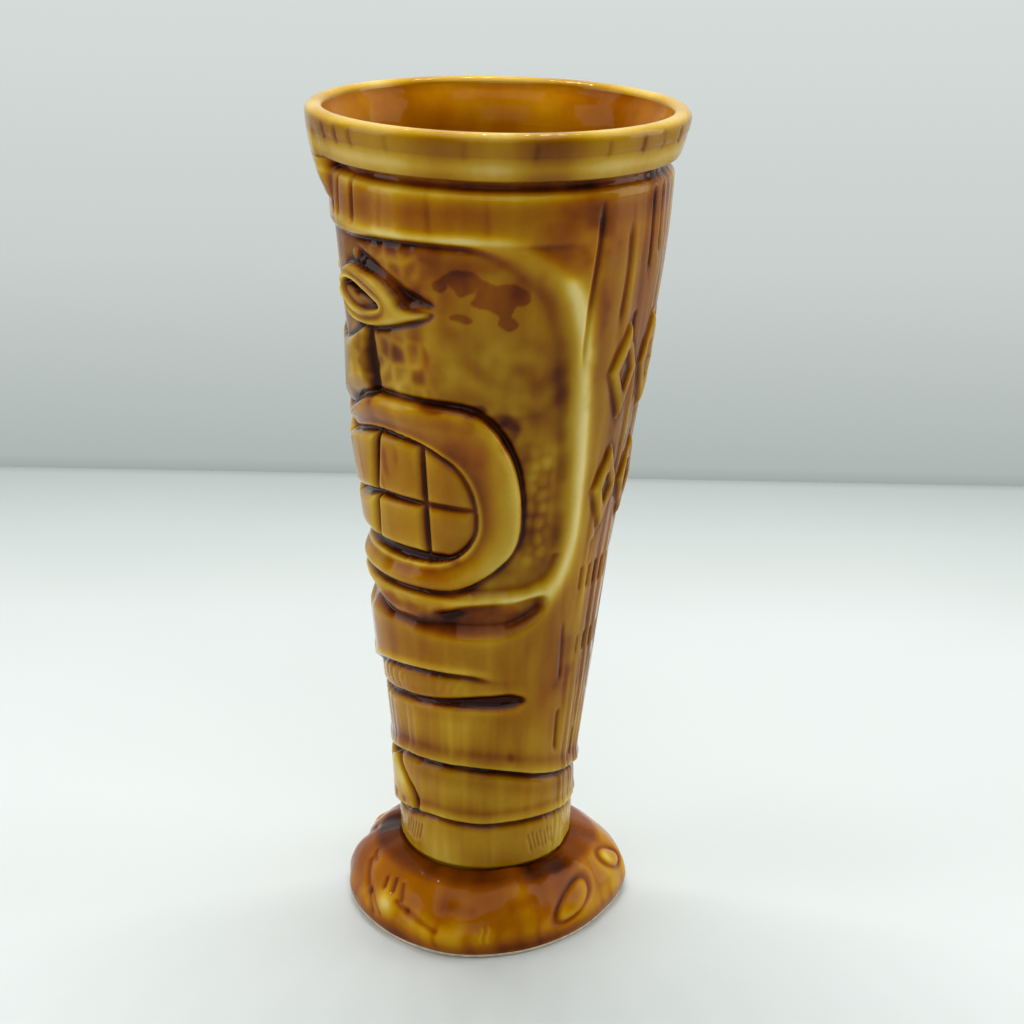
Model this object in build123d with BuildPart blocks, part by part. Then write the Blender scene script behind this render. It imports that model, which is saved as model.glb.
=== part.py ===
from build123d import *

import os
from math import cos, radians, sin

# A drinking mug carved as a log with a grinning face, standing on a flow of lava.
# The real mug is cast and glazed in one piece.  Here the cup and each region of its
# carving are solids of their own, which meet face to face along the carved creases.
# Millimetres, +Z up.  The face looks along -Y, and azimuths are counted from there,
# positive towards +X.  The origin is on the floor, on the mug's axis.

os.makedirs("parts", exist_ok=True)

# Driving dimensions
height = 178.0
wall = 4.0              # cup wall, measured in from the uncarved log
carving = 1.6           # how far the ground of the carving lies inside the uncarved log
rim_bottom = 168.4
rim_radius = 38.9
foot_top = 14.2
dry_ring = 0.8          # thickness of the unglazed ring that the mug stands on
base_recess = 2.0       # hollow under the cup's floor
floor_level = 9.0       # inside bottom of the cup
floor_round = 4.0

# The uncarved log: (radius, height)
log_outline = [(19.4, foot_top), (19.9, 29), (22.2, 51), (26.2, 88), (31.4, 124.6), (35.6, 160), (36.0, rim_bottom)]
core_radius = log_outline[0][0] - carving
reach_out = 60.0        # longer than any radius, for the blocks that cut out a region

# Relief heights beyond the uncarved log
brow_proud = 0.4
nose_proud = 1.0
lips_proud = 0.9
teeth_proud = 0.4
eyelid_proud = 0.3
eyeball_proud = -0.8
lozenge_proud = 0.9
gusset_proud = 3.0

# Bands of the log: name -> (bottom, top, azimuth reached on each side, proud of the log)
bands = {
    "chin_strip": (75.5, 80.3, 75.0, 0.0),
    "belly_band": (61.8, 72.8, 106.0, 0.3),
    "belly_fold": (55.5, 61.0, 100.0, 0.2),
    "waist_band": (41.0, 53.0, 180.0, 0.0),
    "knee_band": (27.0, 38.6, 180.0, 0.3),
    "ankle_band": (15.0, 25.2, 180.0, 0.2),
}

# Mouth
mouth_top, mouth_bottom = 122.3, 80.9
mouth_middle = (mouth_top + mouth_bottom) / 2
mouth_corner = 72.0     # azimuth where the straight lips turn into the rounded corners
corner_width = 12.0
lip_width_top, lip_width_bottom = 8.0, 6.4
lip_width_side = 7.6
tooth_gaps = [0.0, 28.0, 55.5, 78.0]
tooth_gap_width = 3.0   # degrees
tooth_split = 100.4     # height of the line between the two rows
tooth_clearance = 0.5

# Eyes
eye_azimuth, eye_level = 30.5, 143.2
eye_slant = 0.8                 # how much lower the outer corner lies than the middle
lid_size = (8.6, 6.2, 5.6)      # half width, rise and fall of the lid's outer edge
slit_size = (5.9, 2.6, 2.6)     # and of the slit in it

# Foot: (azimuth, radius) round its lobed edge, and (height, share of that radius) up its side
foot_lobes = [
    (0, 31.0), (28, 30.6), (58, 31.7), (70, 32.2), (95, 31.2), (124, 29.7), (150, 29.8), (179, 32.3),
    (205, 31.6), (228, 30.2), (252, 31.5), (276, 30.5), (302, 31.6), (330, 30.5),
]
foot_side = [(dry_ring, 0.985), (4.0, 1.0), (7.8, 0.952), (11.0, 0.86)]
foot_neck = core_radius + 2.6
dry_ring_width = 6.0
dry_ring_share = 0.985  # share of the foot's bottom edge that the dry ring reaches


def upright(azimuth):
    """The half plane through the axis at this azimuth: x runs outwards, y runs up."""
    turn = radians(azimuth)
    return Plane(origin=(0, 0, 0), x_dir=(sin(turn), -cos(turn), 0), z_dir=(-cos(turn), -sin(turn), 0))


def facing(azimuth):
    """The plane through the axis that faces outwards at this azimuth: x runs round, y runs up."""
    turn = radians(azimuth)
    return Plane(origin=(0, 0, 0), x_dir=(cos(turn), sin(turn), 0), z_dir=(sin(turn), -cos(turn), 0))


def log_skin(inner, outer):
    """A skin of the log between two distances beyond its uncarved surface."""
    with BuildPart() as skin:
        with BuildSketch(Plane.XZ):
            with BuildLine():
                inside = Spline(*[(radius + inner, level) for radius, level in log_outline])
                outside = Spline(*[(radius + outer, level) for radius, level in log_outline])
                Line(inside @ 0, outside @ 0)
                Line(inside @ 1, outside @ 1)
            make_face()
        revolve(axis=Axis.Z)
    return skin.part


def ring_block(bottom, top, start, end):
    """Everything round the axis between two heights and two azimuths."""
    with BuildPart() as block:
        with BuildSketch(upright(start)):
            with Locations((reach_out / 2, (bottom + top) / 2)):
                Rectangle(reach_out, top - bottom)
        revolve(axis=Axis.Z, revolution_arc=end - start)
    return block.part


def band(bottom, top, reach, proud):
    """One raised band of the log, the same distance round on each side of the face."""
    with BuildPart() as piece:
        add(ring_block(bottom, top, -reach, reach))
        add(log_skin(-carving, proud), mode=Mode.INTERSECT)
    return piece.part


def save(part, name):
    """Names one finished piece and writes its file."""
    part.label = name
    export_step(part, "parts/" + name + ".step")


# ---- cup: the hollow log itself, from the recess under its floor up to the rim ----
with BuildPart() as log_cup:
    with BuildSketch(Plane.XZ):
        with BuildLine():
            outside = Spline(*[(radius - carving, level) for radius, level in log_outline])
            inside = Spline(*[(radius - wall, level) for radius, level in log_outline])
            Line(outside @ 1, inside @ 1)
            Polyline(outside @ 0, (core_radius, base_recess), (0, base_recess), (0, floor_level),
                     (log_outline[0][0] - wall, floor_level), inside @ 0)
        make_face()
    revolve(axis=Axis.Z)
    floor_edge = log_cup.edges().filter_by(GeomType.CIRCLE).group_by(Axis.Z)[1].sort_by(SortBy.RADIUS)[0]
    fillet(floor_edge, floor_round)
save(log_cup.part, "log_cup")

# ---- rim: the thick band round the mouth, with a rounded lip ----
mouth_radius = log_outline[-1][0] - wall
lip_round = 1.4
rim_outside = [(36.2, rim_bottom), (37.2, 170.0), (38.2, 173.5), (rim_radius, 176.4), (rim_radius, height)]
rim_inside = [(35.0, height), (34.6, 175.5), (33.2, 172.5), (mouth_radius, rim_bottom)]
with BuildPart() as rim_band:
    with BuildSketch(Plane.XZ) as rim_section:
        with BuildLine():
            Polyline(rim_outside + rim_inside, close=True)
        make_face()
        fillet(rim_section.vertices().group_by(Axis.Y)[-1], lip_round)
    revolve(axis=Axis.Z)
save(rim_band.part, "rim_band")

# ---- brow: a band under the rim, cut away in front for the gusset that joins it to the rim ----
brow_bottom, brow_top = 157.0, 166.4
gusset_reach, gusset_bottom = 15.0, 161.0
gusset_root = 30.0      # inside the log, out of sight

with BuildPart() as rim_gusset:
    with BuildSketch(upright(-gusset_reach)):
        with BuildLine():
            Polyline((gusset_root, gusset_bottom), (35.8, gusset_bottom), (37.2, rim_bottom),
                     (gusset_root, rim_bottom), close=True)
        make_face()
    revolve(axis=Axis.Z, revolution_arc=2 * gusset_reach)
    add(log_skin(-carving, gusset_proud), mode=Mode.INTERSECT)
save(rim_gusset.part, "rim_gusset")

with BuildPart() as brow_band:
    add(band(brow_bottom, brow_top, 180.0, brow_proud))
    add(ring_block(gusset_bottom, height, -gusset_reach, gusset_reach), mode=Mode.SUBTRACT)
save(brow_band.part, "brow_band")

# ---- back of the log: left standing round the face's window and above the waist ----
back_bottom = bands["waist_band"][1]
window_bottom = 80.0
belly_reach = 110.0
with BuildPart() as back_panel:
    add(band(back_bottom, brow_bottom, 180.0, 0.0))
    add(ring_block(back_bottom, window_bottom, -belly_reach, belly_reach), mode=Mode.SUBTRACT)
    # The window's edge, seen from the side: x runs towards the back.
    with BuildSketch(facing(90.0)):
        with BuildLine():
            edge = Spline((8.3, window_bottom), (13.9, 90), (14.5, 118), (13.9, 136), (9.5, 150), (-3.0, brow_bottom))
            Polyline(edge @ 1, (-reach_out, brow_bottom), (-reach_out, window_bottom), edge @ 0)
        make_face()
    extrude(amount=reach_out, both=True, mode=Mode.SUBTRACT)
save(back_panel.part, "back_panel")

# ---- nose: two wings that flare up at their outer ends, and a tip that hangs over the lip ----
with BuildPart() as nose:
    with BuildSketch(facing(0.0)):
        with BuildLine():
            tip = Spline((-17.0, 122.8), (-9.0, 118.6), (0, 116.2), (9.0, 118.6), (17.0, 122.8))
            bridge = Spline((-17.2, 136.6), (-9.0, 131.8), (0, 130.2), (9.0, 131.8), (17.2, 136.6))
            Line(tip @ 0, bridge @ 0)
            Line(tip @ 1, bridge @ 1)
        make_face()
    extrude(amount=reach_out)
    add(log_skin(-carving, nose_proud), mode=Mode.INTERSECT)
save(nose.part, "nose")


# ---- mouth: a rounded oblong that wraps from cheek to cheek ----
def mouth_block(inset_top, inset_bottom, inset_side):
    """Everything inside the mouth's outline, moved in by these widths."""
    top, bottom = mouth_top - inset_top, mouth_bottom + inset_bottom
    with BuildPart() as block:
        add(ring_block(bottom, top, -mouth_corner, mouth_corner))
        for side in (-1, 1):
            with BuildSketch(facing(side * mouth_corner)):
                with Locations((0, (top + bottom) / 2)):
                    Ellipse(corner_width - inset_side, (top - bottom) / 2)
                with Locations((-side * reach_out / 2, mouth_middle)):
                    Rectangle(reach_out, height, mode=Mode.SUBTRACT)
            extrude(amount=reach_out)
    return block.part


mouth_outside = mouth_block(0, 0, 0)
mouth_inside = mouth_block(lip_width_top, lip_width_bottom, lip_width_side)

with BuildPart() as lips:
    add(mouth_outside)
    add(mouth_inside, mode=Mode.SUBTRACT)
    add(log_skin(-carving, lips_proud), mode=Mode.INTERSECT)
    add(nose.part, mode=Mode.SUBTRACT)
save(lips.part, "lips")

# ---- teeth: two rows, cut to the mouth's inside at the corners ----
tooth_rows = {
    "upper": (tooth_split + tooth_clearance, mouth_top - lip_width_top - tooth_clearance),
    "lower": (mouth_bottom + lip_width_bottom + 4 * tooth_clearance, tooth_split - tooth_clearance),
}
tooth_space = mouth_block(lip_width_top + tooth_clearance, lip_width_bottom + tooth_clearance,
                          lip_width_side + tooth_clearance)
tooth_spans = list(zip(tooth_gaps, tooth_gaps[1:]))
tooth_spans = [(-end, -start) for start, end in reversed(tooth_spans)] + tooth_spans

for row, (row_bottom, row_top) in tooth_rows.items():
    for number, (start, end) in enumerate(tooth_spans, start=1):
        with BuildPart() as tooth:
            add(ring_block(row_bottom, row_top, start + tooth_gap_width / 2, end - tooth_gap_width / 2))
            add(log_skin(-carving, teeth_proud), mode=Mode.INTERSECT)
            add(tooth_space, mode=Mode.INTERSECT)
        save(tooth.part, "tooth_" + row + "_" + str(number))


# ---- eyes: a raised almond lid round a lower eyeball ----
def almond(half_width, rise, fall, slant):
    """The sketch of an almond about the eye's middle, its outer corner lower by the slant."""
    inner = (-half_width, eye_level + slant)
    outer = (half_width, eye_level - slant)
    with BuildSketch() as outline:
        with BuildLine():
            ThreePointArc(inner, (0, eye_level + rise), outer)
            ThreePointArc(inner, (0, eye_level - fall), outer)
        make_face()
    return outline.sketch


for side, name in ((-1, "right"), (1, "left")):
    slit = almond(*slit_size, side * eye_slant)
    with BuildPart() as eyeball:
        with BuildSketch(facing(side * eye_azimuth)):
            add(slit)
        extrude(amount=reach_out)
        add(log_skin(-carving, eyeball_proud), mode=Mode.INTERSECT)
    save(eyeball.part, "eyeball_" + name)

    with BuildPart() as eyelid:
        with BuildSketch(facing(side * eye_azimuth)):
            add(almond(*lid_size, side * eye_slant))
            add(slit, mode=Mode.SUBTRACT)
        extrude(amount=reach_out)
        add(log_skin(-carving, eyelid_proud), mode=Mode.INTERSECT)
        add(nose.part, mode=Mode.SUBTRACT)
    save(eyelid.part, "eyelid_" + name)

# ---- bands of the log, from the chin down to the ankle ----
for name, (bottom, top, reach, proud) in bands.items():
    save(band(bottom, top, reach, proud), name)

# ---- ornament on the back: two rows of hollow lozenges ----
lozenge_rows = [(128.0, 10.5), (102.5, 9.5)]    # (middle height, half height)
lozenge_azimuths = [140.0, 160.0, 180.0, 200.0, 220.0]
lozenge_half_width = 4.4
lozenge_stroke = 0.5    # share of the lozenge that its hollow middle takes


def lozenge(half_width, middle, half_height):
    """The sketch of one lozenge at this height."""
    with BuildSketch() as outline:
        with BuildLine():
            Polyline((-half_width, middle), (0, middle + half_height), (half_width, middle),
                     (0, middle - half_height), close=True)
        make_face()
    return outline.sketch


with BuildPart() as back_lozenges:
    for middle, half_height in lozenge_rows:
        for azimuth in lozenge_azimuths:
            with BuildSketch(facing(azimuth)):
                add(lozenge(lozenge_half_width, middle, half_height))
                add(lozenge(lozenge_half_width * lozenge_stroke, middle, half_height * lozenge_stroke),
                    mode=Mode.SUBTRACT)
            extrude(amount=reach_out)
    add(log_skin(0, lozenge_proud), mode=Mode.INTERSECT)
save(back_lozenges.part, "back_lozenges")


# ---- foot: lava that has run out round the bottom of the log ----
def lobed(share):
    """The sketch of the foot's lobed edge at this share of its full radius."""
    points = []
    for azimuth, radius in foot_lobes:
        turn = radians(azimuth)
        points.append((share * radius * sin(turn), -share * radius * cos(turn)))
    with BuildSketch() as outline:
        with BuildLine():
            Spline(*points, periodic=True)
        make_face()
    return outline.sketch


with BuildPart() as lava_foot:
    for level, share in foot_side:
        with BuildSketch(Plane.XY.offset(level)):
            add(lobed(share))
    loft()
    with BuildSketch(Plane.XY.offset(foot_side[-1][0])):
        add(lobed(foot_side[-1][1]))
    with BuildSketch(Plane.XY.offset(foot_top)):
        Circle(foot_neck)
    loft()
    with BuildSketch(Plane.XY):
        Circle(core_radius)
    extrude(amount=foot_top, mode=Mode.SUBTRACT)
save(lava_foot.part, "lava_foot")

ring_share = foot_side[0][1] * dry_ring_share
with BuildPart() as foot_ring:
    with BuildSketch():
        add(lobed(ring_share))
        add(lobed(ring_share - dry_ring_width / foot_lobes[0][1]), mode=Mode.SUBTRACT)
    extrude(amount=dry_ring)
save(foot_ring.part, "foot_ring")

# ---- stones: half-sunk pebbles in the lava, each an egg lying along the foot's side ----
stone_length, stone_round = 6.4, 3.4
stones = {"lava_stone_left": (127.0, 7.9, 25.8), "lava_stone_back": (168.0, 9.6, 25.6),
          "lava_stone_right": (232.0, 7.9, 25.8)}

for name, (azimuth, level, radius) in stones.items():
    side = facing(azimuth).offset(radius)
    long_axis = Axis(side.from_local_coords((0, level)), side.x_dir)
    with BuildPart() as stone:
        with BuildSketch(side):
            with Locations((0, level)):
                Ellipse(stone_length, stone_round)
            with Locations((0, level - stone_round)):
                Rectangle(2 * stone_length, 2 * stone_round, mode=Mode.SUBTRACT)
        revolve(axis=long_axis)
        add(lava_foot.part, mode=Mode.SUBTRACT)
        add(log_cup.part, mode=Mode.SUBTRACT)
    save(stone.part, name)
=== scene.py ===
import math

import bpy
import numpy as np
from mathutils import Matrix, Vector


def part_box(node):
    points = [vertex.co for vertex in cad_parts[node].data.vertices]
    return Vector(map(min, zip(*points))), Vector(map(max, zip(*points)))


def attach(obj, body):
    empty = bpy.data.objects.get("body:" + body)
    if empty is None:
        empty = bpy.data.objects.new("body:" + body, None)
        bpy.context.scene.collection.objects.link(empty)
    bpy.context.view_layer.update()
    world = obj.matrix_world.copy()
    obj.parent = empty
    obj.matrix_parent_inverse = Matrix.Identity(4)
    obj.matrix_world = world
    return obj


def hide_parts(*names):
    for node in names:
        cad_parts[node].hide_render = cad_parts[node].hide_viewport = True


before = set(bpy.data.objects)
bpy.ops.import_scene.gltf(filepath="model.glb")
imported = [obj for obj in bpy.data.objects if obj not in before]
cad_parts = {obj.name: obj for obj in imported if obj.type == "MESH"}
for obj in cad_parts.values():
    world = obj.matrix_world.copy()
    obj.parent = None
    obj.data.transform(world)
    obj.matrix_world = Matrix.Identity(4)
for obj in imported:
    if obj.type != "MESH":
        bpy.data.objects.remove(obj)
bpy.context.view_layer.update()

# The mug's carving is one height field over the log, in azimuth (degrees from the middle of
# the face, positive towards +X) and height.  The field is cut along the carved creases into
# closed solids, one or more for each CAD node.  Lengths are in millimetres until a mesh is
# made, where they become metres.

MM = 0.001

# ---------------------------------------------------------------- sizes
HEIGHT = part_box("rim_band")[1].z / MM
RIM_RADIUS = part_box("rim_band")[1].x / MM
RIM_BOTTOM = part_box("rim_band")[0].z / MM
FOOT_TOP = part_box("lava_foot")[1].z / MM
DRY_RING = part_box("lava_foot")[0].z / MM
BASE_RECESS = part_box("log_cup")[0].z / MM
WALL = 4.0
CORE_DEPTH = 2.9            # how far inside the log the carved pieces reach
FLOOR_LEVEL = 9.0

# The uncarved log: (radius, height)
LOG_OUTLINE = [(19.4, 14.2), (19.9, 29), (22.2, 51), (26.2, 88), (31.4, 124.6), (35.6, 160), (36.0, 168.4)]

LOG_TOP = RIM_BOTTOM        # where the carved log ends under the rim
LOG_BOTTOM = 12.6           # where it ends inside the foot's collar
CORE_RADIUS = 17.8
MEAN_RADIUS = 28.0          # of the log, for lengths along the field
COLLAR_DEPTH = 1.1          # how far the log steps in under the collar
GROUND = -1.25              # level of the face's cut-back ground


def smoothstep(low, high, x):
    t = np.clip((x - low) / (high - low), 0, 1)
    return t * t * (3 - 2 * t)


def bell(x, width):
    return np.exp(-(x / width) ** 2)


def edge_round(inside, radius):
    """0 at an outline and 1 from `radius` inside it, along a quarter circle."""
    t = np.clip(inside / radius, 0, 1)
    return np.sqrt(1 - (1 - t) ** 2)


def through(points, x):
    """A smooth curve through (value, position) points, read at x."""
    values = np.array([p[0] for p in points], float)
    places = np.array([p[1] for p in points], float)
    slopes = np.gradient(values, places)
    x = np.clip(x, places[0], places[-1])
    k = np.clip(np.searchsorted(places, x, side="right") - 1, 0, len(places) - 2)
    span = places[k + 1] - places[k]
    t = (x - places[k]) / span
    return (values[k] * (1 + 2 * t) * (1 - t) ** 2 + slopes[k] * span * t * (1 - t) ** 2
            + values[k + 1] * t * t * (3 - 2 * t) + slopes[k + 1] * span * t * t * (t - 1))


def log_radius(z):
    return through(LOG_OUTLINE, np.asarray(z, float))


# ---------------------------------------------------------------- field
U_STEP, Z_STEP = 0.4, 0.25
Z_LOW, Z_HIGH = 12.0, 170.0
U_AXIS = np.arange(-180, 180 - U_STEP / 2, U_STEP)
Z_AXIS = np.arange(Z_LOW, Z_HIGH + Z_STEP / 2, Z_STEP)
U, Z = np.meshgrid(U_AXIS, Z_AXIS)
A = np.abs(U)
FAR = 50.0


def soft_noise(seed, across, along):
    """Smooth seeded noise with unit spread; its lumps are this many mm across and along the log."""
    rows, columns = U.shape
    rng = np.random.default_rng(seed)
    spectrum = np.fft.rfft2(rng.standard_normal((rows, columns)))
    ky = np.fft.fftfreq(rows)[:, None] * along / Z_STEP
    kx = np.fft.rfftfreq(columns)[None, :] * across / (math.radians(U_STEP) * MEAN_RADIUS)
    field = np.fft.irfft2(spectrum * np.exp(-4.5 * (kx * kx + ky * ky)), s=(rows, columns))
    return field / field.std()


def smooth_line(points, parts=6):
    """A closed Catmull-Rom curve through the points."""
    start = np.array(points, float)
    t = (np.arange(parts) / parts)[None, :, None]
    b, s, a, c = (np.roll(start, k, 0)[:, None, :] for k in (1, 0, -1, -2))
    curve = 0.5 * (2 * s + (a - b) * t + (2 * b - 5 * s + 4 * a - c) * t ** 2
                   + (3 * s - b - 3 * a + c) * t ** 3)
    return curve.reshape(-1, 2)


def distance(points, parts=6, margin=9.0):
    """mm from each place of the field to a closed curve of (azimuth, height) points, negative
    inside it.  Curves are mirrored to both sides of the face."""
    line = smooth_line(points, parts)
    scale = math.radians(1) * float(log_radius(line[:, 1].mean()))
    low, high = line.min(0) - [margin / scale, margin], line.max(0) + [margin / scale, margin]
    window = (Z >= low[1]) & (Z <= high[1]) & (A >= low[0]) & (A <= high[0])
    x, y = A[window] * scale, Z[window]
    ends = np.vstack([line[1:], line[:1]])
    best = np.full(x.shape, FAR ** 2)
    inside = np.zeros(x.shape, bool)
    for (u0, z0), (u1, z1) in zip(line, ends):
        ax, bx = u0 * scale, u1 * scale
        dx, dy = bx - ax, z1 - z0
        t = np.clip(((x - ax) * dx + (y - z0) * dy) / max(dx * dx + dy * dy, 1e-9), 0, 1)
        best = np.minimum(best, (x - ax - t * dx) ** 2 + (y - z0 - t * dy) ** 2)
        if z0 != z1:
            crosses = (z0 > y) != (z1 > y)
            inside ^= crosses & (x < ax + (y - z0) * dx / (z1 - z0))
    out = np.full(U.shape, FAR)
    out[window] = np.sqrt(best) * np.where(inside, -1, 1)
    return out


def level_line(points):
    """Height of a crease that runs round the log, as a function of azimuth, the same on both sides."""
    return through([(z, u) for u, z in points], A)


def blur(field, size):
    """A softening by about `size` mm, as a coat of glaze rounds off what is under it."""
    rows, columns = field.shape
    padded = np.vstack([field, field[::-1]])
    spectrum = np.fft.rfft2(padded)
    ky = np.fft.fftfreq(2 * rows)[:, None] / Z_STEP
    kx = np.fft.rfftfreq(columns)[None, :] / (math.radians(U_STEP) * MEAN_RADIUS)
    spectrum *= np.exp(-2 * (math.pi * size) ** 2 * (kx * kx + ky * ky))
    return np.fft.irfft2(spectrum, s=padded.shape)[:rows]


# ---------------------------------------------------------------- outlines of the carving
PANEL = [(-30, 155.2), (0, 155.2), (28, 155.4), (45, 156.2), (65, 156.6), (84, 156.2), (95, 154.2),
         (104, 150.4),
         (110, 145.6), (115, 137), (118, 125), (120.5, 112), (122, 100), (122, 91), (117, 84.5),
         (108, 81.6), (95, 80.2), (60, 79.4), (0, 79.4), (-30, 79.4)]
LIPS_OUT = [(-30, 122.4), (-15, 118.3), (0, 115.4), (15, 118.3), (26, 121.4), (36, 122.6), (55, 122.7),
            (72, 122.5), (80, 121), (86, 118.2), (91, 114.4), (95, 109.8), (97.8, 104), (98.8, 98.5),
            (98, 94), (95, 90.6), (90, 88), (84, 85.6), (74, 82.8), (64, 81.4), (45, 80.9), (15, 80.8),
            (0, 80.6), (-15, 80.8), (-30, 81)]
LIPS_IN = [(-30, 113.6), (-15, 112.2), (0, 111.2), (15, 112.8), (27, 114.4), (37, 115.1), (47, 114.8),
           (56, 113.9),
           (65, 111.8), (72, 109.3), (77, 105.2), (79.6, 100), (79.4, 95.6), (76, 92.2), (71, 89.8),
           (64, 88.2), (54, 87.3), (35, 86.9), (15, 86.9), (0, 86.9), (-15, 86.9), (-30, 87)]
EYELID = [(17.6, 143), (19.5, 146), (23.5, 148.1), (29, 148.9), (35, 148.4), (40.5, 147.7), (45.5, 146.2),
          (49, 144), (51.5, 142.2), (57, 141.7), (62, 141.4), (58, 140.2), (52, 139.1), (45, 137.9),
          (39, 137.1), (33, 136.8), (26, 137.2), (20.8, 139), (18.2, 141)]
EYE_INSET = 0.55            # how far inside the slit the eyeball is cut from the lid
EYE_SLIT = [(19.4, 143.4), (23, 145), (27.2, 145.5), (31, 145.2), (35, 144.3), (39.4, 143), (42.6, 141.7),
            (38.5, 140.6), (33.5, 140.2), (28.5, 140.5), (23.5, 141.6)]
GOUGE = [(30.5, 152.8), (36, 152), (43, 150.2), (50, 148), (57, 146), (63.5, 144.2), (64.4, 142.6),
         (58, 142),
         (51.5, 142.2), (49.3, 144.4), (46, 146.8), (40.5, 148.2), (35, 149), (31, 149.8)]
NOSE = [(-12, 118.1), (0, 116.2), (12, 118.1), (22, 120.6), (33.4, 123), (34.4, 127), (33.4, 132),
        (32, 137),
        (24, 134.6), (12, 131.4), (0, 130.2), (-12, 131.4)]
CHIN = [(16, 79.4), (20, 80.4), (45, 80.3), (64, 80.8), (76, 81.6), (80, 80.6), (75, 79), (65, 77.6),
        (50, 75.8), (35, 75.6), (24, 77), (17.5, 78.4)]
GROOVE_HIGH = [(-20, 70.6), (0, 70), (15, 71.6), (35, 71.8), (60, 70.8), (85, 70.8), (95, 71.4),
               (105, 73.2),
               (111.5, 75.8), (114.4, 78.4), (113.8, 80.4), (109, 81.0), (98, 80.2), (85, 80), (72, 79.2),
               (62, 77.6),
               (50, 76), (35, 75.8), (25, 77), (15, 78.6), (0, 79), (-20, 79)]
GROOVE_LOW = [(-20, 51.4), (0, 51), (15, 51.6), (35, 53), (65, 53.9), (95, 54.1), (103, 54.9),
              (106.6, 56.2),
              (102.5, 57.6), (95, 58.2), (75, 57.5), (55, 56), (35, 55), (15, 53.8), (0, 53), (-20, 53.6)]
ROLL_EDGE = [(0, 57.6), (15, 60.4), (35, 62), (60, 62.7), (76, 62.6), (90, 61.6)]
KNOT = [(-38, 31), (0, 35), (10, 36), (19, 34.6), (27, 32), (33, 30), (36.6, 28), (36, 26), (30, 25.2),
        (18, 24.4), (0, 23.4),
        (-38, 25.8)]

# Creases that run all the way round: (azimuth, height)
WAIST_CREASE = [(0, 36.4), (12, 37.4), (25, 38.7), (38, 39.3), (75, 39.6), (92, 39), (105, 38), (120, 36.6),
                (135, 35.5), (150, 34.9), (165, 33.6), (180, 32.6)]
ANKLE_CREASE = [(0, 22.6), (12, 22.9), (24, 23.8), (37, 25.2), (85, 25.5), (115, 26), (145, 25.3),
                (160, 24.9),
                (180, 25.2)]

# Height of the foot's collar against the log: (height, azimuth)
COLLAR = [(15.0, 0), (14.5, 30), (14.2, 60), (14.2, 85), (14.4, 115), (14.7, 145), (15.4, 172),
          (14.8, 205), (14.3, 245),
          (14.5, 290), (14.4, 330), (15.0, 360)]

# Teeth
TOOTH_GAPS = [0.0, 28.0, 55.5, 84.0]
ROW_SPLIT = 100.5

# Lozenges on the back: (middle azimuth, middle height, half width in degrees, half height)
LOZENGES = [(azimuth, level, 8.4, tall) for level, tall in ((128, 10.5), (102.5, 9.5))
            for azimuth in (140, 160, 180, 200, 220)]


# ---------------------------------------------------------------- carving
panel_in = -distance(PANEL)
lips_out = -distance(LIPS_OUT)
lips_in = -distance(LIPS_IN)
eyelid_in = -distance(EYELID)
slit_in = -distance(EYE_SLIT)
gouge_in = -distance(GOUGE)
nose_in = -distance(NOSE, parts=3)
chin_in = -distance(CHIN)
groove_high_in = -distance(GROOVE_HIGH)
groove_low_in = -distance(GROOVE_LOW)
knot_in = -distance(KNOT)
waist_line = level_line(WAIST_CREASE)
ankle_line = level_line(ANKLE_CREASE)
foot_line = through(COLLAR, U % 360)
roll_line = level_line(ROLL_EDGE)
LOCAL_MM = math.radians(1) * log_radius(Z)


def lozenge_inside(azimuth, level, half_width, half_height):
    across = ((U - azimuth + 180) % 360 - 180) / half_width
    up = (Z - level) / half_height
    return (1 - np.abs(across) - np.abs(up)) * half_width * math.radians(1) * float(log_radius(level)) * 0.8


lozenge_in = np.full(U.shape, -FAR)
for lozenge in LOZENGES:
    lozenge_in = np.maximum(lozenge_in, lozenge_inside(*lozenge))


def vertical_cut(azimuth, low, high, width, depth, wander=0.0, seed=0):
    """A grain line of the log: a narrow groove that fades at both ends."""
    drift = wander * np.sin(Z * 0.13 + seed)
    across = ((U - azimuth - drift + 180) % 360 - 180) * LOCAL_MM
    ends = smoothstep(low, low + 0.2 * (high - low), Z) * (1
            - smoothstep(high - 0.2 * (high - low), high, Z))
    return -depth * bell(across, width) * ends


def log_surface():
    """The uncarved log: slow lumps, a flattened brow, and grain lines down its back and sides."""
    field = 0.16 * soft_noise(11, 14, 30) + 0.05 * soft_noise(12, 3.5, 22)
    field -= 1.25 * bell(A, 34) * smoothstep(112, 132, Z)
    for azimuth, low, high, depth in (
            (119, 128, 166, 0.75), (133, 137, 160, 0.5), (146, 146, 167, 0.8), (153, 150, 167, 0.6),
            (144, 133, 141, 0.5), (171, 141, 167, 0.7), (187, 128, 160, 0.6), (203, 140, 167, 0.8),
            (221, 120, 165, 0.7), (236, 134, 160, 0.6), (249, 112, 158, 0.7),
            (130, 41, 53, 0.6), (146, 38, 46, 0.5), (160, 52, 62, 0.4), (176, 40, 58, 0.6),
            (195, 60, 90, 0.5), (211, 38, 60, 0.6), (232, 55, 88, 0.6), (247, 39, 52, 0.5),
            (126, 58, 74, 0.3), (138, 84, 92, 0.3), (168, 60, 84, 0.4)):
        field = field + vertical_cut(azimuth, low, high, 0.55, depth, 1.2, azimuth)
    grain = soft_noise(13, 1.1, 16)
    strength = smoothstep(124, 140, A) * 0.07 + 0.02
    waist = smoothstep(40, 44, Z) * (1 - smoothstep(50, 54, Z))
    return field + grain * (strength + 0.01 * waist)


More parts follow.
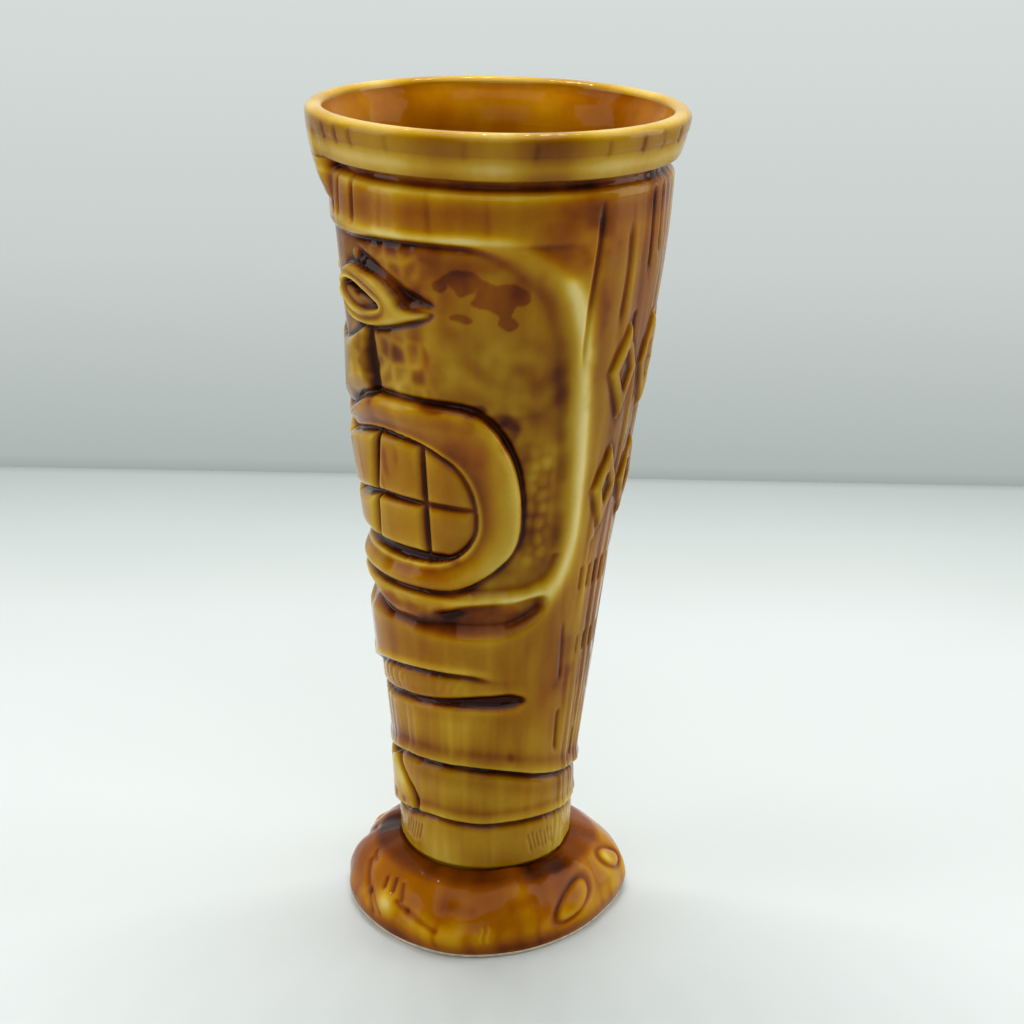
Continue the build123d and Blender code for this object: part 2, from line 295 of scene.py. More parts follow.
def brow():
    """The band over the eyes: proud at the sides, with short grain cuts near the middle."""
    inside = np.minimum(1.6 * (Z - 156.4), 166.9 - Z)
    fade = 1 - smoothstep(95, 122, A)
    field = 0.5 * edge_round(inside, 2.4) * fade * smoothstep(4, 24, A)
    for azimuth, depth in ((16, 0.5), (22, 0.45), (31, 0.75), (-17, 0.5), (-24, 0.45), (-33, 0.7),
            (47, 0.15),
                           (64, 0.12), (82, 0.1)):
        field = field + vertical_cut(azimuth, 156.5, 167.6, 0.6, depth, 0.8, azimuth)
    return field


def cut_back(field):
    """The face's ground, cut back from the log, with a soft light ridge along its edge."""
    width = 1.1 + 3.4 * smoothstep(72, 98, A)
    width = np.where(Z < 90, 3.0, width)
    ground = GROUND + 0.10 * soft_noise(21, 9, 9)
    inside = smoothstep(0, 1, panel_in / width)
    field = field + (ground - 0.35 * field) * inside
    ridge = 0.38 * bell(panel_in + 1.0, 1.5) * smoothstep(60, 90, A) * smoothstep(84, 96, Z)
    lip = 0.3 * bell(panel_in + 0.7, 0.8) * (1 - smoothstep(70, 92, A)) * smoothstep(12, 30, A)
    under_brow = -0.5 * bell(panel_in - 1.3, 0.7) * smoothstep(26, 34, A) * (1 - smoothstep(72, 84, A))
    return field + ridge + (lip + under_brow) * smoothstep(150, 153, Z)


def cells(seed, wide, tall):
    """Distance in from the nearest edge of scattered chisel bites, 0 on the ridge between two."""
    rng = np.random.default_rng(seed)
    x = A * math.radians(1) * 30 / wide
    y = Z / tall
    columns, rows = int(x.max()) + 4, int(y.max()) + 4
    jitter = rng.uniform(0.15, 0.85, (rows, columns, 2))
    i, j = np.floor(x).astype(int), np.floor(y).astype(int)
    nearest, second = np.full(x.shape, 9.0), np.full(x.shape, 9.0)
    for dj in (-1, 0, 1):
        for di in (-1, 0, 1):
            ci, cj = np.clip(i + di, 0, columns - 1), np.clip(j + dj, 0, rows - 1)
            d = np.hypot(x - i - di - jitter[cj, ci, 0], y - j - dj - jitter[cj, ci, 1])
            second = np.minimum(second, np.maximum(d, nearest))
            nearest = np.minimum(nearest, d)
    return np.clip(second - nearest, 0, 0.7) / 0.7


BITES = cells(71, 3.4, 4.2)
KNOBS = blur(cells(72, 2.9, 3.2), 0.35)
BESIDE_NOSE = (smoothstep(35, 39, A) * (1 - smoothstep(56, 68, A)) * smoothstep(122.5, 125, Z)
               * (1 - smoothstep(134.5, 137, Z)))
OVER_EYE = (smoothstep(33, 37, A) * (1 - smoothstep(56, 66, A)) * smoothstep(147, 149, Z)
            * (1 - smoothstep(153.8, 155.4, Z)))
BY_MOUTH = (smoothstep(96, 100, A) * (1 - smoothstep(108, 114, A)) * smoothstep(86, 91, Z)
            * (1 - smoothstep(110, 117, Z)))


def chisel_marks():
    """Hollow chisel bites in the face's ground beside the nose and over the eye, and knobs by the mouth."""
    bites = smoothstep(0, 1, BITES) * np.maximum(BESIDE_NOSE, OVER_EYE) * smoothstep(0.2, 1.4, -gouge_in)
    return -0.22 * blur(bites, 0.4) + 0.30 * blur((smoothstep(0, 0.9, KNOBS) - 0.4) * BY_MOUTH, 0.45)


def nose_height():
    """The nose as a few flat facets, the least of several planes."""
    x = A * math.radians(1) * 32
    top = 0.3 + 0.40 * ((130.4 + 0.37 * x) - Z)
    bottom = 0.6 + 0.32 * (Z - (116.2 + 0.36 * x))
    side = 0.1 + 0.80 * (18.4 - x)
    front = 1.7 + 0.05 * x - 0.05 * np.abs(Z - 126)
    low = 2.5 - 0.13 * np.abs(x - 13.5) - 0.11 * (Z - 123)
    return np.minimum.reduce([top, bottom, side, front, low])


def lips_height():
    """The lips: a fat roll near the outer edge that slopes in to a thin inner rim."""
    outer, inner = np.clip(lips_out, 0, None), np.clip(-lips_in, 0, None)
    across = outer / np.maximum(outer + inner, 0.01)
    roll = edge_round(outer, 2.3) * (1 - 0.62 * smoothstep(0.30, 1.0, across))
    rim = 0.22 * bell(inner - 0.35, 0.45)
    fullness = 2.25 + 0.35 * smoothstep(70, 95, A) + 0.7 * (1 - smoothstep(86, 96, Z)) * (1
            - smoothstep(20, 80, A))
    return fullness * roll + rim


def teeth_height():
    """Twelve pillows between the lips; also the number of the tooth at each place."""
    split = ROW_SPLIT - 2.8 * (1 - smoothstep(0, 36, A))
    lean = 0.45 * (Z - split) * smoothstep(10, 28, A) * (1 - smoothstep(40, 60, A))
    shifted = A - np.where(Z > split, lean, 0.28 * (Z - split) * (A < 45))
    column = np.digitize(shifted, TOOTH_GAPS[1:3])
    edges = np.array(TOOTH_GAPS)
    to_side = np.minimum(shifted - edges[column], np.where(column < 2, edges[np.minimum(column + 1, 3)],
                         200) - shifted)
    to_side = to_side * LOCAL_MM
    upper = Z > split
    low_edge = np.where(upper, split, 89.0)
    high_edge = np.where(upper, 200.0, split)
    to_row = np.minimum(Z - low_edge, high_edge - Z)
    inset = np.minimum(np.minimum(to_side, to_row) - 0.45, lips_in - 0.75)
    swell = 2.5 - 1.75 * smoothstep(18, 80, A)
    height = swell * edge_round(inset, 1.7) + 0.16 * smoothstep(0, 5, inset)
    number = np.where(upper, 0, 6) + np.where(U < 0, 2 - column, 3 + column)
    return height, number


def lower_log(field):
    """The bands under the chin: crescent grooves, a rolled belly, waist, knees and ankles."""
    belly = smoothstep(50, 58, Z) * (1 - smoothstep(79.5, 80.6, Z))
    front = 1 - smoothstep(30, 112, A)
    field = field + 1.35 * front * belly * smoothstep(roll_line - 0.9, roll_line + 0.9, Z)
    fold = (1 - smoothstep(84, 100, A)) * smoothstep(roll_line - 6.5, roll_line - 4, Z)
    fold = fold * (1 - smoothstep(roll_line - 1.2, roll_line - 0.2, Z))
    knobs = 0.2 * np.abs(np.sin(math.pi * (A + 1.4 * np.sin(Z)) / 5.2)) * (smoothstep(12, 17, A)
            * (1 - smoothstep(34, 40, A)) + 0.5 * smoothstep(56, 60, A) * (1 - smoothstep(72, 78, A)))
    field = field + fold * (0.25 * front + knobs)
    edge = 0.35 * bell(Z - roll_line - 0.9, 0.9) * (1 - smoothstep(78, 92, A)) * belly
    under = -0.75 * bell(Z - roll_line + 0.7, 0.7) * (1 - smoothstep(74, 90, A)) * smoothstep(4, 14, A)
    field = field + edge + under
    cut = groove_high_in
    deep = smoothstep(0, 2.4 + 2.2 * (1 - smoothstep(73, 78, Z)), cut + 0.5) * (1.9 + 0.2
            * smoothstep(60, 100, A))
    field = field - deep
    cut = groove_low_in
    field = field - smoothstep(0, 2.1, cut + 0.6) * 1.8
    scallops = 0.24 * np.abs(np.sin(math.pi * A / 5.0)) * smoothstep(17, 21, A) * (1
            - smoothstep(40, 46, A))
    field = np.where(chin_in > 0, np.maximum(field, -1.75 + (1.75 + scallops) * edge_round(chin_in, 1.2)),
                     field)
    return field


def creases(field):
    """The grooves that run all the way round the log, each under a rolled edge."""
    side = smoothstep(95, 140, A)
    waist = Z - waist_line
    depth = 1.5 - 0.5 * side
    field = field - depth * np.where(waist > 0, bell(waist, 0.55), bell(waist, 1.25 - 0.4 * side))
    field = field + 0.55 * smoothstep(0.2, 0.9, waist) * (1 - smoothstep(1.2, 4.5, waist)) * (waist > 0)
    field = field - 0.35 * (1 - smoothstep(0, 5, -waist)) * (waist <= 0) * smoothstep(ankle_line,
            ankle_line + 4, Z)
    ankle = Z - ankle_line
    keep = 1 - 0.75 * bell(A, 9)
    field = field - 1.1 * np.where(ankle > 0, bell(ankle, 0.5), bell(ankle, 1.0)) * keep
    field = field + 0.4 * smoothstep(0.2, 0.8, ankle) * (1 - smoothstep(1.0, 3.5, ankle)) * (ankle > 0)
    lower = (Z < ankle_line) & (Z > foot_line)
    field = field - 0.25 * lower * smoothstep(0, 1.5, -ankle)
    foot = Z - foot_line
    field = field * smoothstep(0, 1.6, foot) - COLLAR_DEPTH * (1 - smoothstep(0.1, 1.3, foot))
    return field


def knot_height(field):
    """The bulging knot in front between the knees, with two short clefts."""
    rise = edge_round(knot_in, 1.5)
    clefts = 0.4 * bell((A - 25) * LOCAL_MM, 0.6) + 0.4 * bell((A - 11) * LOCAL_MM, 0.7)
    clefts = clefts * (1 - smoothstep(26.5, 29, Z))
    inside = -0.9 + 1.65 * rise - clefts * smoothstep(0.6, 1.8, knot_in)
    field = np.where(knot_in > 0, inside, field)
    return field - 0.6 * bell(knot_in + 0.15, 0.5)


def scratches():
    """Slanted cuts in the ankle band."""
    field = np.zeros(U.shape)
    for first, count, slant in ((22, 6, 0.9), (116, 7, -0.8), (200, 5, 0.7), (300, 6, -0.9)):
        for k in range(count):
            azimuth = first + 3.1 * k
            field = field + vertical_cut(azimuth + slant * (Z - 20), 17.4 + 0.3 * (k % 3), 22.8 + 0.4
                    * (k % 2), 0.3, 0.3)
    return field


def carve():
    field = log_surface() + brow()
    field = cut_back(field)
    field = field + chisel_marks()
    field = lower_log(field)

    # A dark pool gathers in the moat round the mouth and the nose.
    moat = 0.15 + 0.75 * smoothstep(20, 40, A) * smoothstep(96, 106, Z)
    field = field - moat * bell(lips_out + 0.5, 0.7) * (lips_out < 0.4)

    mouth = lips_in > 0
    teeth, number = teeth_height()
    valley = smoothstep(58, 76, A) * smoothstep(90, 96, Z)
    base = -1.75 + 0.75 * valley - 0.4 * bell(Z - 88.4, 1.5) * (1 - smoothstep(62, 78, A))
    lips = GROUND - 0.3 + lips_height() - 0.5 * bell(A, 40) * smoothstep(98, 102, Z)
    field = np.where(lips_out > 0, lips, field)
    field = np.where(mouth, base + teeth, field)

    nose = GROUND + nose_height() * edge_round(nose_in, 1.1)
    field = np.where(nose_in > 0, np.maximum(nose, GROUND - 0.2), field)
    field = field - 0.9 * bell(nose_in - 0.1, 0.95) * (Z < 140) * smoothstep(8, 20, A)

    # Eye: gouge, lid, slit and ball.
    gouge = smoothstep(0, 3.4, gouge_in + 0.5) * (1.2 + 0.3 * smoothstep(40, 55, A))
    field = field - gouge
    channel = 0.42 * bell(slit_in + 1.5, 0.75) * (1 - smoothstep(40, 50, A))
    lid = GROUND + 1.7 * edge_round(eyelid_in, 1.3) - 0.5 * bell(A, 14) - channel - 0.5 * smoothstep(44,
            62, A)
    field = np.where(eyelid_in > 0, np.maximum(lid, field), field)
    ball = 1 - ((A - 29.5) / 12.5) ** 2 - ((Z - 142.0 + 0.05 * (A - 29)) / 2.7) ** 2
    slit = GROUND - 0.5 + 1.25 * np.sqrt(np.clip(ball, 0, 1)) - 1.1 * smoothstep(0, 2.2, Z - 142.5 + 0.12
            * (A - 30))
    open_eye = smoothstep(-0.5, 0.55, slit_in)
    field = field * (1 - open_eye) + slit * open_eye
    field = field + 0.2 * bell(slit_in + 0.75, 0.45)
    knob = 1 - (((A - 29) * LOCAL_MM) / 1.2) ** 2 - ((Z - 150.8) / 1.1) ** 2
    field = field + 0.35 * np.sqrt(np.clip(knob, 0, 1))
    under_lid = -0.5 * bell(eyelid_in + 0.6, 0.6) * (Z < 142)
    field = field + under_lid

    # Lozenges: a raised frame round a low middle.
    frame_height = 0.85 * edge_round(lozenge_in, 0.8) * (1 - 0.85 * smoothstep(1.7, 2.4, lozenge_in))
    field = field + np.where(lozenge_in > 0, frame_height, 0) - 0.15 * bell(lozenge_in + 0.3, 0.5)

    # Two rows of short strokes under the lozenges.
    for level, half, pitch, low, high in ((82.5, 3.2, 6.2, 133, 227), (66.5, 2.6, 7.4, 137, 223)):
        azimuth = U % 360
        beat = np.abs((azimuth / pitch) % 1 - 0.5) * pitch * LOCAL_MM
        inside = (azimuth > low) & (azimuth < high)
        field = field - 0.4 * bell(beat, 0.5) * inside * smoothstep(half, half - 1, np.abs(Z - level))

    # Gusset between the rim and the brow, and the groove under the rim beside it.
    gusset = 1 - smoothstep(11, 19, A)
    groove = np.where(Z > 167.3, 1.0, bell(Z - 167.3, 1.1))
    field = field - 1.5 * groove * (1 - gusset)
    ramp = through([(-1.0, 159), (-0.6, 161), (0.4, 163.5), (1.2, 166.5), (1.65, 169.0)], Z)
    field = np.where(Z > 160, field * (1 - gusset) + ramp * gusset, field)

    field = creases(field)
    field = knot_height(field)
    field = field + scratches()
    return blur(field, 0.22), number


RELIEF, TOOTH_NUMBER = carve()


# ---------------------------------------------------------------- colour of the glaze, with painted shade and painted highlights
SPOT_WAVER = 0.16 * soft_noise(30, 3.2, 3.2) + 0.10 * soft_noise(29, 1.5, 1.5)


def spot(azimuth, level, across, tall, soft=1.0):
    """A soft round or oval patch, 1 in the middle, in degrees and mm."""
    d = np.sqrt((((U - azimuth + 180) % 360 - 180) / across) ** 2 + ((Z - level) / tall) ** 2)
    return 1 - smoothstep(1 - soft, 1, d + SPOT_WAVER * (1.9 - soft))


# Where the glaze ran thick or thin, and on the nose a painted shadow and a painted highlight:
# (azimuth, height, half width in degrees, half height, how much darker, how much warmer, softness of the
# edge)
GLAZE_AND_PAINTED_LIGHT_SPOTS = [
    (94, 148.5, 4, 4.6, 0.08, 0.4, 0.9), (80, 151.5, 14, 2.4, 0.10, 0.3, 0.9),
    (106, 156, 13, 9, 0.14, 0.4, 0.9), (120, 160, 9, 7, 0.14, 0.3, 0.9),
    (38, 108.5, 3, 4.4, 0.20, 0.4, 0.9), (99, 43, 5, 2.6, 0.18, 0.4, 0.9),
    (88, 120.5, 14, 2.4, 0.20, 0.3, 0.9), (98, 110, 4.5, 8, 0.14, 0.2, 0.9),
    (60, 76.5, 14, 1.8, 0.16, 0.5, 0.9), (98, 76.8, 14, 2.4, 0.08, 0.7, 0.5),
    (98, 56.2, 8, 1.4, 0.12, 0.6, 0.6), (130, 64, 7, 10, 0.14, 0.2, 0.9),
    (52, 132, 10, 7, 0.06, 0.5, 0.9), (60, 127, 12, 5, 0.04, 0.3, 0.9), (98, 68, 12, 6, -0.04, 0.1, 0.9),
    (8, 93, 10, 3, 0.06, 0.1, 0.9), (45, 77, 26, 2.2, 0.2, 0.5, 0.8), (80, 56, 26, 1.0, 0.2, 0.5, 0.9),
    (72, 113, 16, 5, 0.08, 0.5, 0.9), (50, 84, 34, 3, 0.10, 0.5, 0.9),
    (50, 119.6, 40, 2.6, 0.09, 0.5, 0.9), (100, 88, 8, 5, -0.06, 0.0, 0.9),
    (60, 89, 22, 1.6, 0.30, 0.3, 0.9), (122, 140, 4, 20, 0.12, 0.2, 0.9),
    (50, 154, 22, 1.4, 0.12, 0.1, 0.9), (56, 144.6, 10, 2.0, 0.34, 0.6, 0.8),
    # (31.5, 130): painted shadow on the side of the nose.
    (36, 150, 8, 2.4, 0.12, 0.2, 0.9), (31.5, 130, 5.5, 9.5, 0.36, -0.2, 0.6),
    # (23, 126): painted highlight on the nose's light facet, lighter rather than darker.
    (23, 126, 4, 2.6, -0.14, 0.3, 0.8), (72, 122.4, 22, 1.3, 0.30, 0.2, 0.7),
    (91, 117, 5, 4.6, 0.22, 0.2, 0.8), (29, 143.8, 9, 1.2, 0.3, 0.0, 0.7),
    (44, 88.4, 20, 1.5, 0.34, 0.2, 0.7), (98, 98, 3, 9, 0.12, 0.1, 0.9), (10, 107, 2, 7, 0.14, 0.4, 0.9),
    (20, 106, 1.6, 7, 0.12, 0.4, 0.9), (44, 110, 2, 3, 0.10, 0.4, 0.9), (35, 103, 2, 4, 0.12, 0.4, 0.9),
    (60, 162, 26, 3, 0.05, 0.2, 0.9)
]
# Puddles with crisp edges under the brow: (azimuth, height, half width in degrees, half height)
PUDDLES = [(74, 148.2, 9, 3.2), (86, 145.8, 10, 2.9), (76, 141.2, 6.5, 1.7), (91, 140.6, 4, 1.2)]


def glaze_and_painted_light_tone():
    """Two fields for the glaze's colour.  Tone is 0 where dark glaze has pooled, about 0.5 on open
    ground and 1 on a thin light edge; it also holds painted shade and painted highlights, listed where
    they are added.  Warmth is 0 for olive glaze and 1 for orange."""
    fine = RELIEF - blur(RELIEF, 0.8)
    middle = RELIEF - blur(RELIEF, 2.4)
    wide = RELIEF - blur(RELIEF, 6.0)
    in_pool = smoothstep(0, 1.5, np.maximum(groove_high_in, groove_low_in))
    groove = 0.36 * (1 - np.exp(np.clip(fine, None, 0) / 0.30)) * (1 - 0.6 * in_pool)
    tone = 0.47 + 0.34 * np.clip(fine, 0, None) - groove + 0.14 * middle + 0.05 * wide
    tone = tone + 0.040 * soft_noise(31, 8, 16) + 0.022 * soft_noise(32, 2.0, 6)
    ground = smoothstep(0.5, 3, panel_in) * (lips_out < 0)
    mottle = soft_noise(34, 2.3, 2.6)
    tone = tone + ground * (0.045 * mottle - 0.06) * (1 - smoothstep(134, 142, Z) * smoothstep(70, 80, A))
    low = 1 - smoothstep(50, 54, Z)
    log_back = smoothstep(112, 126, A) * smoothstep(54, 58, Z)
    tone = tone - 0.10 * log_back + 0.09 * soft_noise(33, 3.5, 40) * log_back
    # Darker in the groove under the chin: pooled glaze and painted shade under the chin.
    chin_pool_and_shade = smoothstep(-0.2, 2.0, groove_high_in) * (Z < 80.2) * (chin_in < 0.4)
    tone = tone - chin_pool_and_shade * (0.22 - 0.10 * smoothstep(74, 96, A)) * smoothstep(0, 30, A)
    pool_low = smoothstep(-0.3, 1.2, groove_low_in)
    tone = tone - 0.26 * pool_low
    tone = tone + 0.10 * bell(Z - roll_line - 1.6, 1.4) * (1 - smoothstep(76, 92, A)) * (Z < 70)
    # Painted highlight on the convex ridge just outside the panel's side border.
    border_highlight = bell(panel_in + 1.6, 2.6) * smoothstep(86, 100, A) * (1 - smoothstep(146, 155, Z))
    tone = tone + 0.46 * border_highlight + 0.06 * low
    ridges = blur(1 - smoothstep(0, 0.55, BITES), 0.25)
    tone = tone + (0.12 * ridges + 0.01 + 0.06 * soft_noise(39, 3.2, 3.6)) * np.maximum(BESIDE_NOSE,
            OVER_EYE) * (eyelid_in < 0) * (gouge_in < 0)
    tone = tone + 0.07 * (smoothstep(0, 0.9, KNOBS) - 0.45) * BY_MOUTH * (lips_out < 0)
    on_lips = (lips_out > 0) & (lips_in < 0)
    lip_top = on_lips * smoothstep(104, 112, Z)
    tone = tone + on_lips * (0.22 * bell(-lips_in - 0.5, 0.5) + 0.08 * smoothstep(84, 92, A) - 0.05)
    tone = tone - 0.10 * bell(slit_in + 1.5, 0.7) * (eyelid_in > 0) + 0.16 * bell(slit_in + 0.6, 0.45)
    tone = tone + 0.14 * bell((A - 36.2) * LOCAL_MM, 0.5) * smoothstep(123, 126, Z) * (1
            - smoothstep(134, 137, Z))
    waist = smoothstep(40, 42, Z) * (1 - smoothstep(50, 53, Z))
    tone = tone + 0.07 * bell(Z - roll_line + 3.2, 1.5) * (1 - smoothstep(84, 96, A))
    tone = tone + 0.015 * soft_noise(35, 2.6, 10) * waist + 0.04 * soft_noise(37, 9, 5) * low
    brow_face = smoothstep(158, 160, Z)
    tone = tone - brow_face * (0.10 * bell(Z - 162.5, 3) + 0.04 * soft_noise(38, 6, 12))
    # Painted light: lighter along the brow's rounded top edge, which faces up.
    tone = tone + 0.14 * bell(Z - 165.8, 0.7) * (1 - smoothstep(110, 125, A))
    tone = tone + 0.20 * bell(Z - 157.0, 1.5) * (1 - smoothstep(84, 100, A)) - 0.12 * bell(Z - waist_line
            - 3.2, 2.2)
    tone = tone - 0.08 * bell(Z - waist_line + 3.4, 1.8) - 0.08 * bell(Z - ankle_line - 3.0, 1.2)
    tone = tone + 0.10 * bell(Z - waist_line + 7.0, 2.6) + 0.09 * bell(Z - ankle_line + 4.5, 3.0)
    tone = tone - 0.04 * lip_top
    warmth = 0.45 + 0.16 * soft_noise(36, 14, 14) + 0.3 * lip_top
    warmth = warmth + 0.45 * smoothstep(150, 158, Z) - 0.30 * ground * (1
            - smoothstep(128, 150, Z)) - 0.15 * low
    for azimuth, level, across, tall, amount, warm, soft in GLAZE_AND_PAINTED_LIGHT_SPOTS:
        for side in (azimuth, -azimuth):
            patch = spot(side, level, across, tall, soft)
            tone = tone - amount * patch
            warmth = warmth + warm * patch
    puddle = np.zeros(U.shape)
    for azimuth, level, across, tall in PUDDLES:
        puddle = np.maximum(puddle, np.maximum(spot(azimuth, level, across, tall, 0.14),
                spot(-azimuth, level, across, tall, 0.14)))
    tone = tone - 0.19 * puddle
    warmth = warmth + 0.5 * puddle
    warmth = warmth + 0.9 * np.clip(0.42 - tone, 0, 0.5) + 0.3 * (chin_pool_and_shade + pool_low)
    return np.clip(tone, 0, 1), np.clip(warmth, 0, 1)


TONE, WARMTH = glaze_and_painted_light_tone()


def surface_normals():
    radius = log_radius(Z) + RELIEF
    turn = math.radians(U_STEP)
    across = (np.roll(radius, -1, 1) - np.roll(radius, 1, 1)) / (2 * turn)
    along = np.gradient(radius, Z_STEP, axis=0)
    sine, cosine = np.sin(np.radians(U)), np.cos(np.radians(U))
    normal = np.stack([radius * sine - across * cosine, -(radius * cosine + across * sine), -radius
                      * along], -1)
    return normal / np.linalg.norm(normal, axis=-1, keepdims=True)


NORMALS = surface_normals()


def sample(field, u, z):
    """The field's value at any place, between its grid points; azimuth wraps round."""
    x = (u + 180) / U_STEP
    y = np.clip((z - Z_LOW) / Z_STEP, 0, len(Z_AXIS) - 1.001)
    i, j = np.floor(x).astype(int), np.floor(y).astype(int)
    fx, fy = x - i, y - j
    n = len(U_AXIS)
    i0, i1 = i % n, (i + 1) % n
    if field.ndim == 3:
        fx, fy = fx[..., None], fy[..., None]
    return ((field[j, i0] * (1 - fx) + field[j, i1] * fx) * (1 - fy)
            + (field[j + 1, i0] * (1 - fx) + field[j + 1, i1] * fx) * fy)


# ---------------------------------------------------------------- cutting the log into pieces
COARSE = 1.0
FRONT_SPAN = 126.0
front_columns = int(round(2 * FRONT_SPAN / (0.52 * COARSE)))
back_columns = int(round((360 - 2 * FRONT_SPAN) / (0.62 * COARSE)))
COLUMN_U = np.concatenate([np.linspace(-FRONT_SPAN, FRONT_SPAN, front_columns, endpoint=False),
                           np.linspace(FRONT_SPAN, 360 - FRONT_SPAN, back_columns, endpoint=False)])
COLUMN_U = (COLUMN_U + 180) % 360 - 180
COLUMN_U = np.sort(COLUMN_U)
COLUMNS = len(COLUMN_U)
ROWS = int(round((LOG_TOP - LOG_BOTTOM) / (0.32 * COARSE)))
ROW_Z = np.linspace(LOG_BOTTOM, LOG_TOP, ROWS + 1)
MID_U = COLUMN_U + np.diff(np.append(COLUMN_U, COLUMN_U[0] + 360)) / 2
MID_Z = (ROW_Z[1:] + ROW_Z[:-1]) / 2
CELL_U, CELL_Z = np.meshgrid(MID_U, MID_Z)
CELL_A = np.abs((CELL_U + 180) % 360 - 180)
CELL_SIDE = np.where((CELL_U + 180) % 360 - 180 >= 0, 0, 1)

NAMES = ["back_panel_left", "back_panel_right", "brow_band", "rim_gusset", "cheek_left", "cheek_right",
         "nose",
         "lips", "eyelid_left", "eyelid_right", "eyeball_left", "eyeball_right", "chin_strip", "belly_band",
         "belly_fold", "waist_band", "knee_band", "ankle_band", "back_lozenges"]
NAMES += ["tooth_upper_%d" % k for k in range(1, 7)] + ["tooth_lower_%d" % k for k in range(1, 7)]
CODE = {name: k for k, name in enumerate(NAMES)}


def cell_labels():
    """Which piece each cell of the mesh grid belongs to."""
    def at(field):
        return sample(field, CELL_U, CELL_Z)

    def line(points):
        return through([(z, u) for u, z in points], CELL_A)

    labels = np.where(CELL_SIDE == 0, CODE["back_panel_left"], CODE["back_panel_right"])
    panel = at(panel_in) > 0
    labels = np.where(panel, CODE["cheek_left"] + CELL_SIDE, labels)
    lozenge = at(lozenge_in) > 0
    labels[lozenge] = CODE["back_lozenges"]
    brow_low = line([(0, 155.2), (28, 155.4), (45, 156.2), (65, 156.6), (84, 156.4), (95, 156.8),
                    (112, 157.8), (180, 158)])
    labels[CELL_Z > brow_low] = CODE["brow_band"]
    labels[(CELL_A < 15) & (CELL_Z > 160.6)] = CODE["rim_gusset"]
    chin_line = line([(0, 79.4), (60, 79.4), (95, 80.0), (113.6, 79.6), (180, 79.6)])
    roll = line([(0, 57.6), (15, 60.4), (35, 62), (60, 62.7), (76, 62.6), (90, 61.6), (180, 61)])
    fold_low = line([(0, 52), (15, 52.7), (35, 54), (65, 54.9), (95, 56.1), (106.6, 56.2), (125, 54.6),
                    (180, 53.5)])
    belly = (CELL_Z > roll) & (CELL_Z < chin_line) & (CELL_A < 92 + (CELL_Z - 61.5) * 1.22) & ~panel
    labels[belly] = CODE["belly_band"]
    labels[(CELL_Z > fold_low) & (CELL_Z <= roll) & (CELL_A < 97 + (57 - CELL_Z)
           * 1.2)] = CODE["belly_fold"]
    labels[at(chin_in) > 0] = CODE["chin_strip"]
    waist, ankle = line(WAIST_CREASE), line(ANKLE_CREASE)
    labels[(CELL_Z > waist) & (CELL_Z <= fold_low)] = CODE["waist_band"]
    labels[(CELL_Z > ankle) & (CELL_Z <= waist)] = CODE["knee_band"]
    labels[CELL_Z <= ankle] = CODE["ankle_band"]
    lips, mouth = at(lips_out) > 0, at(lips_in) > 0
    labels[lips] = CODE["lips"]
    x = np.round((CELL_U + 180) / U_STEP).astype(int) % len(U_AXIS)
    y = np.clip(np.round((CELL_Z - Z_LOW) / Z_STEP).astype(int), 0, len(Z_AXIS) - 1)
    number = TOOTH_NUMBER[y, x]
    labels = np.where(mouth, CODE["tooth_upper_1"] + number, labels)
    labels[(at(nose_in) > 0) & ~lips] = CODE["nose"]
    lid, slit = at(eyelid_in) > 0, at(slit_in) > EYE_INSET
    labels = np.where(lid, CODE["eyelid_left"] + CELL_SIDE, labels)
    labels = np.where(slit, CODE["eyeball_left"] + CELL_SIDE, labels)
    return tidy_labels(labels)


def tidy_labels(labels):
    """Gives a cell that has fewer than two like neighbours to its neighbours, and parts cells of
    one piece that touch only at a corner."""
    for _ in range(6):
        up = np.vstack([labels[1:], labels[-1:]])
        down = np.vstack([labels[:1], labels[:-1]])
        left, right = np.roll(labels, 1, 1), np.roll(labels, -1, 1)
        like = ((up == labels).astype(int) + (down == labels) + (left == labels) + (right == labels))
        replacement = np.where(up == down, up, np.where(left == right, left,
                np.where(up == left, up, right)))
        labels = np.where(like < 2, replacement, labels)
    for _ in range(8):
        here, right = labels[:-1], np.roll(labels, -1, 1)[:-1]
        up, corner = labels[1:], np.roll(labels, -1, 1)[1:]
        touch = (here == corner) & (here != right) & (here != up)
        touch2 = (right == up) & (right != here) & (right != corner)
        if not touch.any() and not touch2.any():
            break
        j, i = np.nonzero(touch)
        labels[j + 1, i] = labels[j, i]
        j, i = np.nonzero(touch2 & ~touch)
        labels[j, i] = labels[j + 1, i]
    return labels


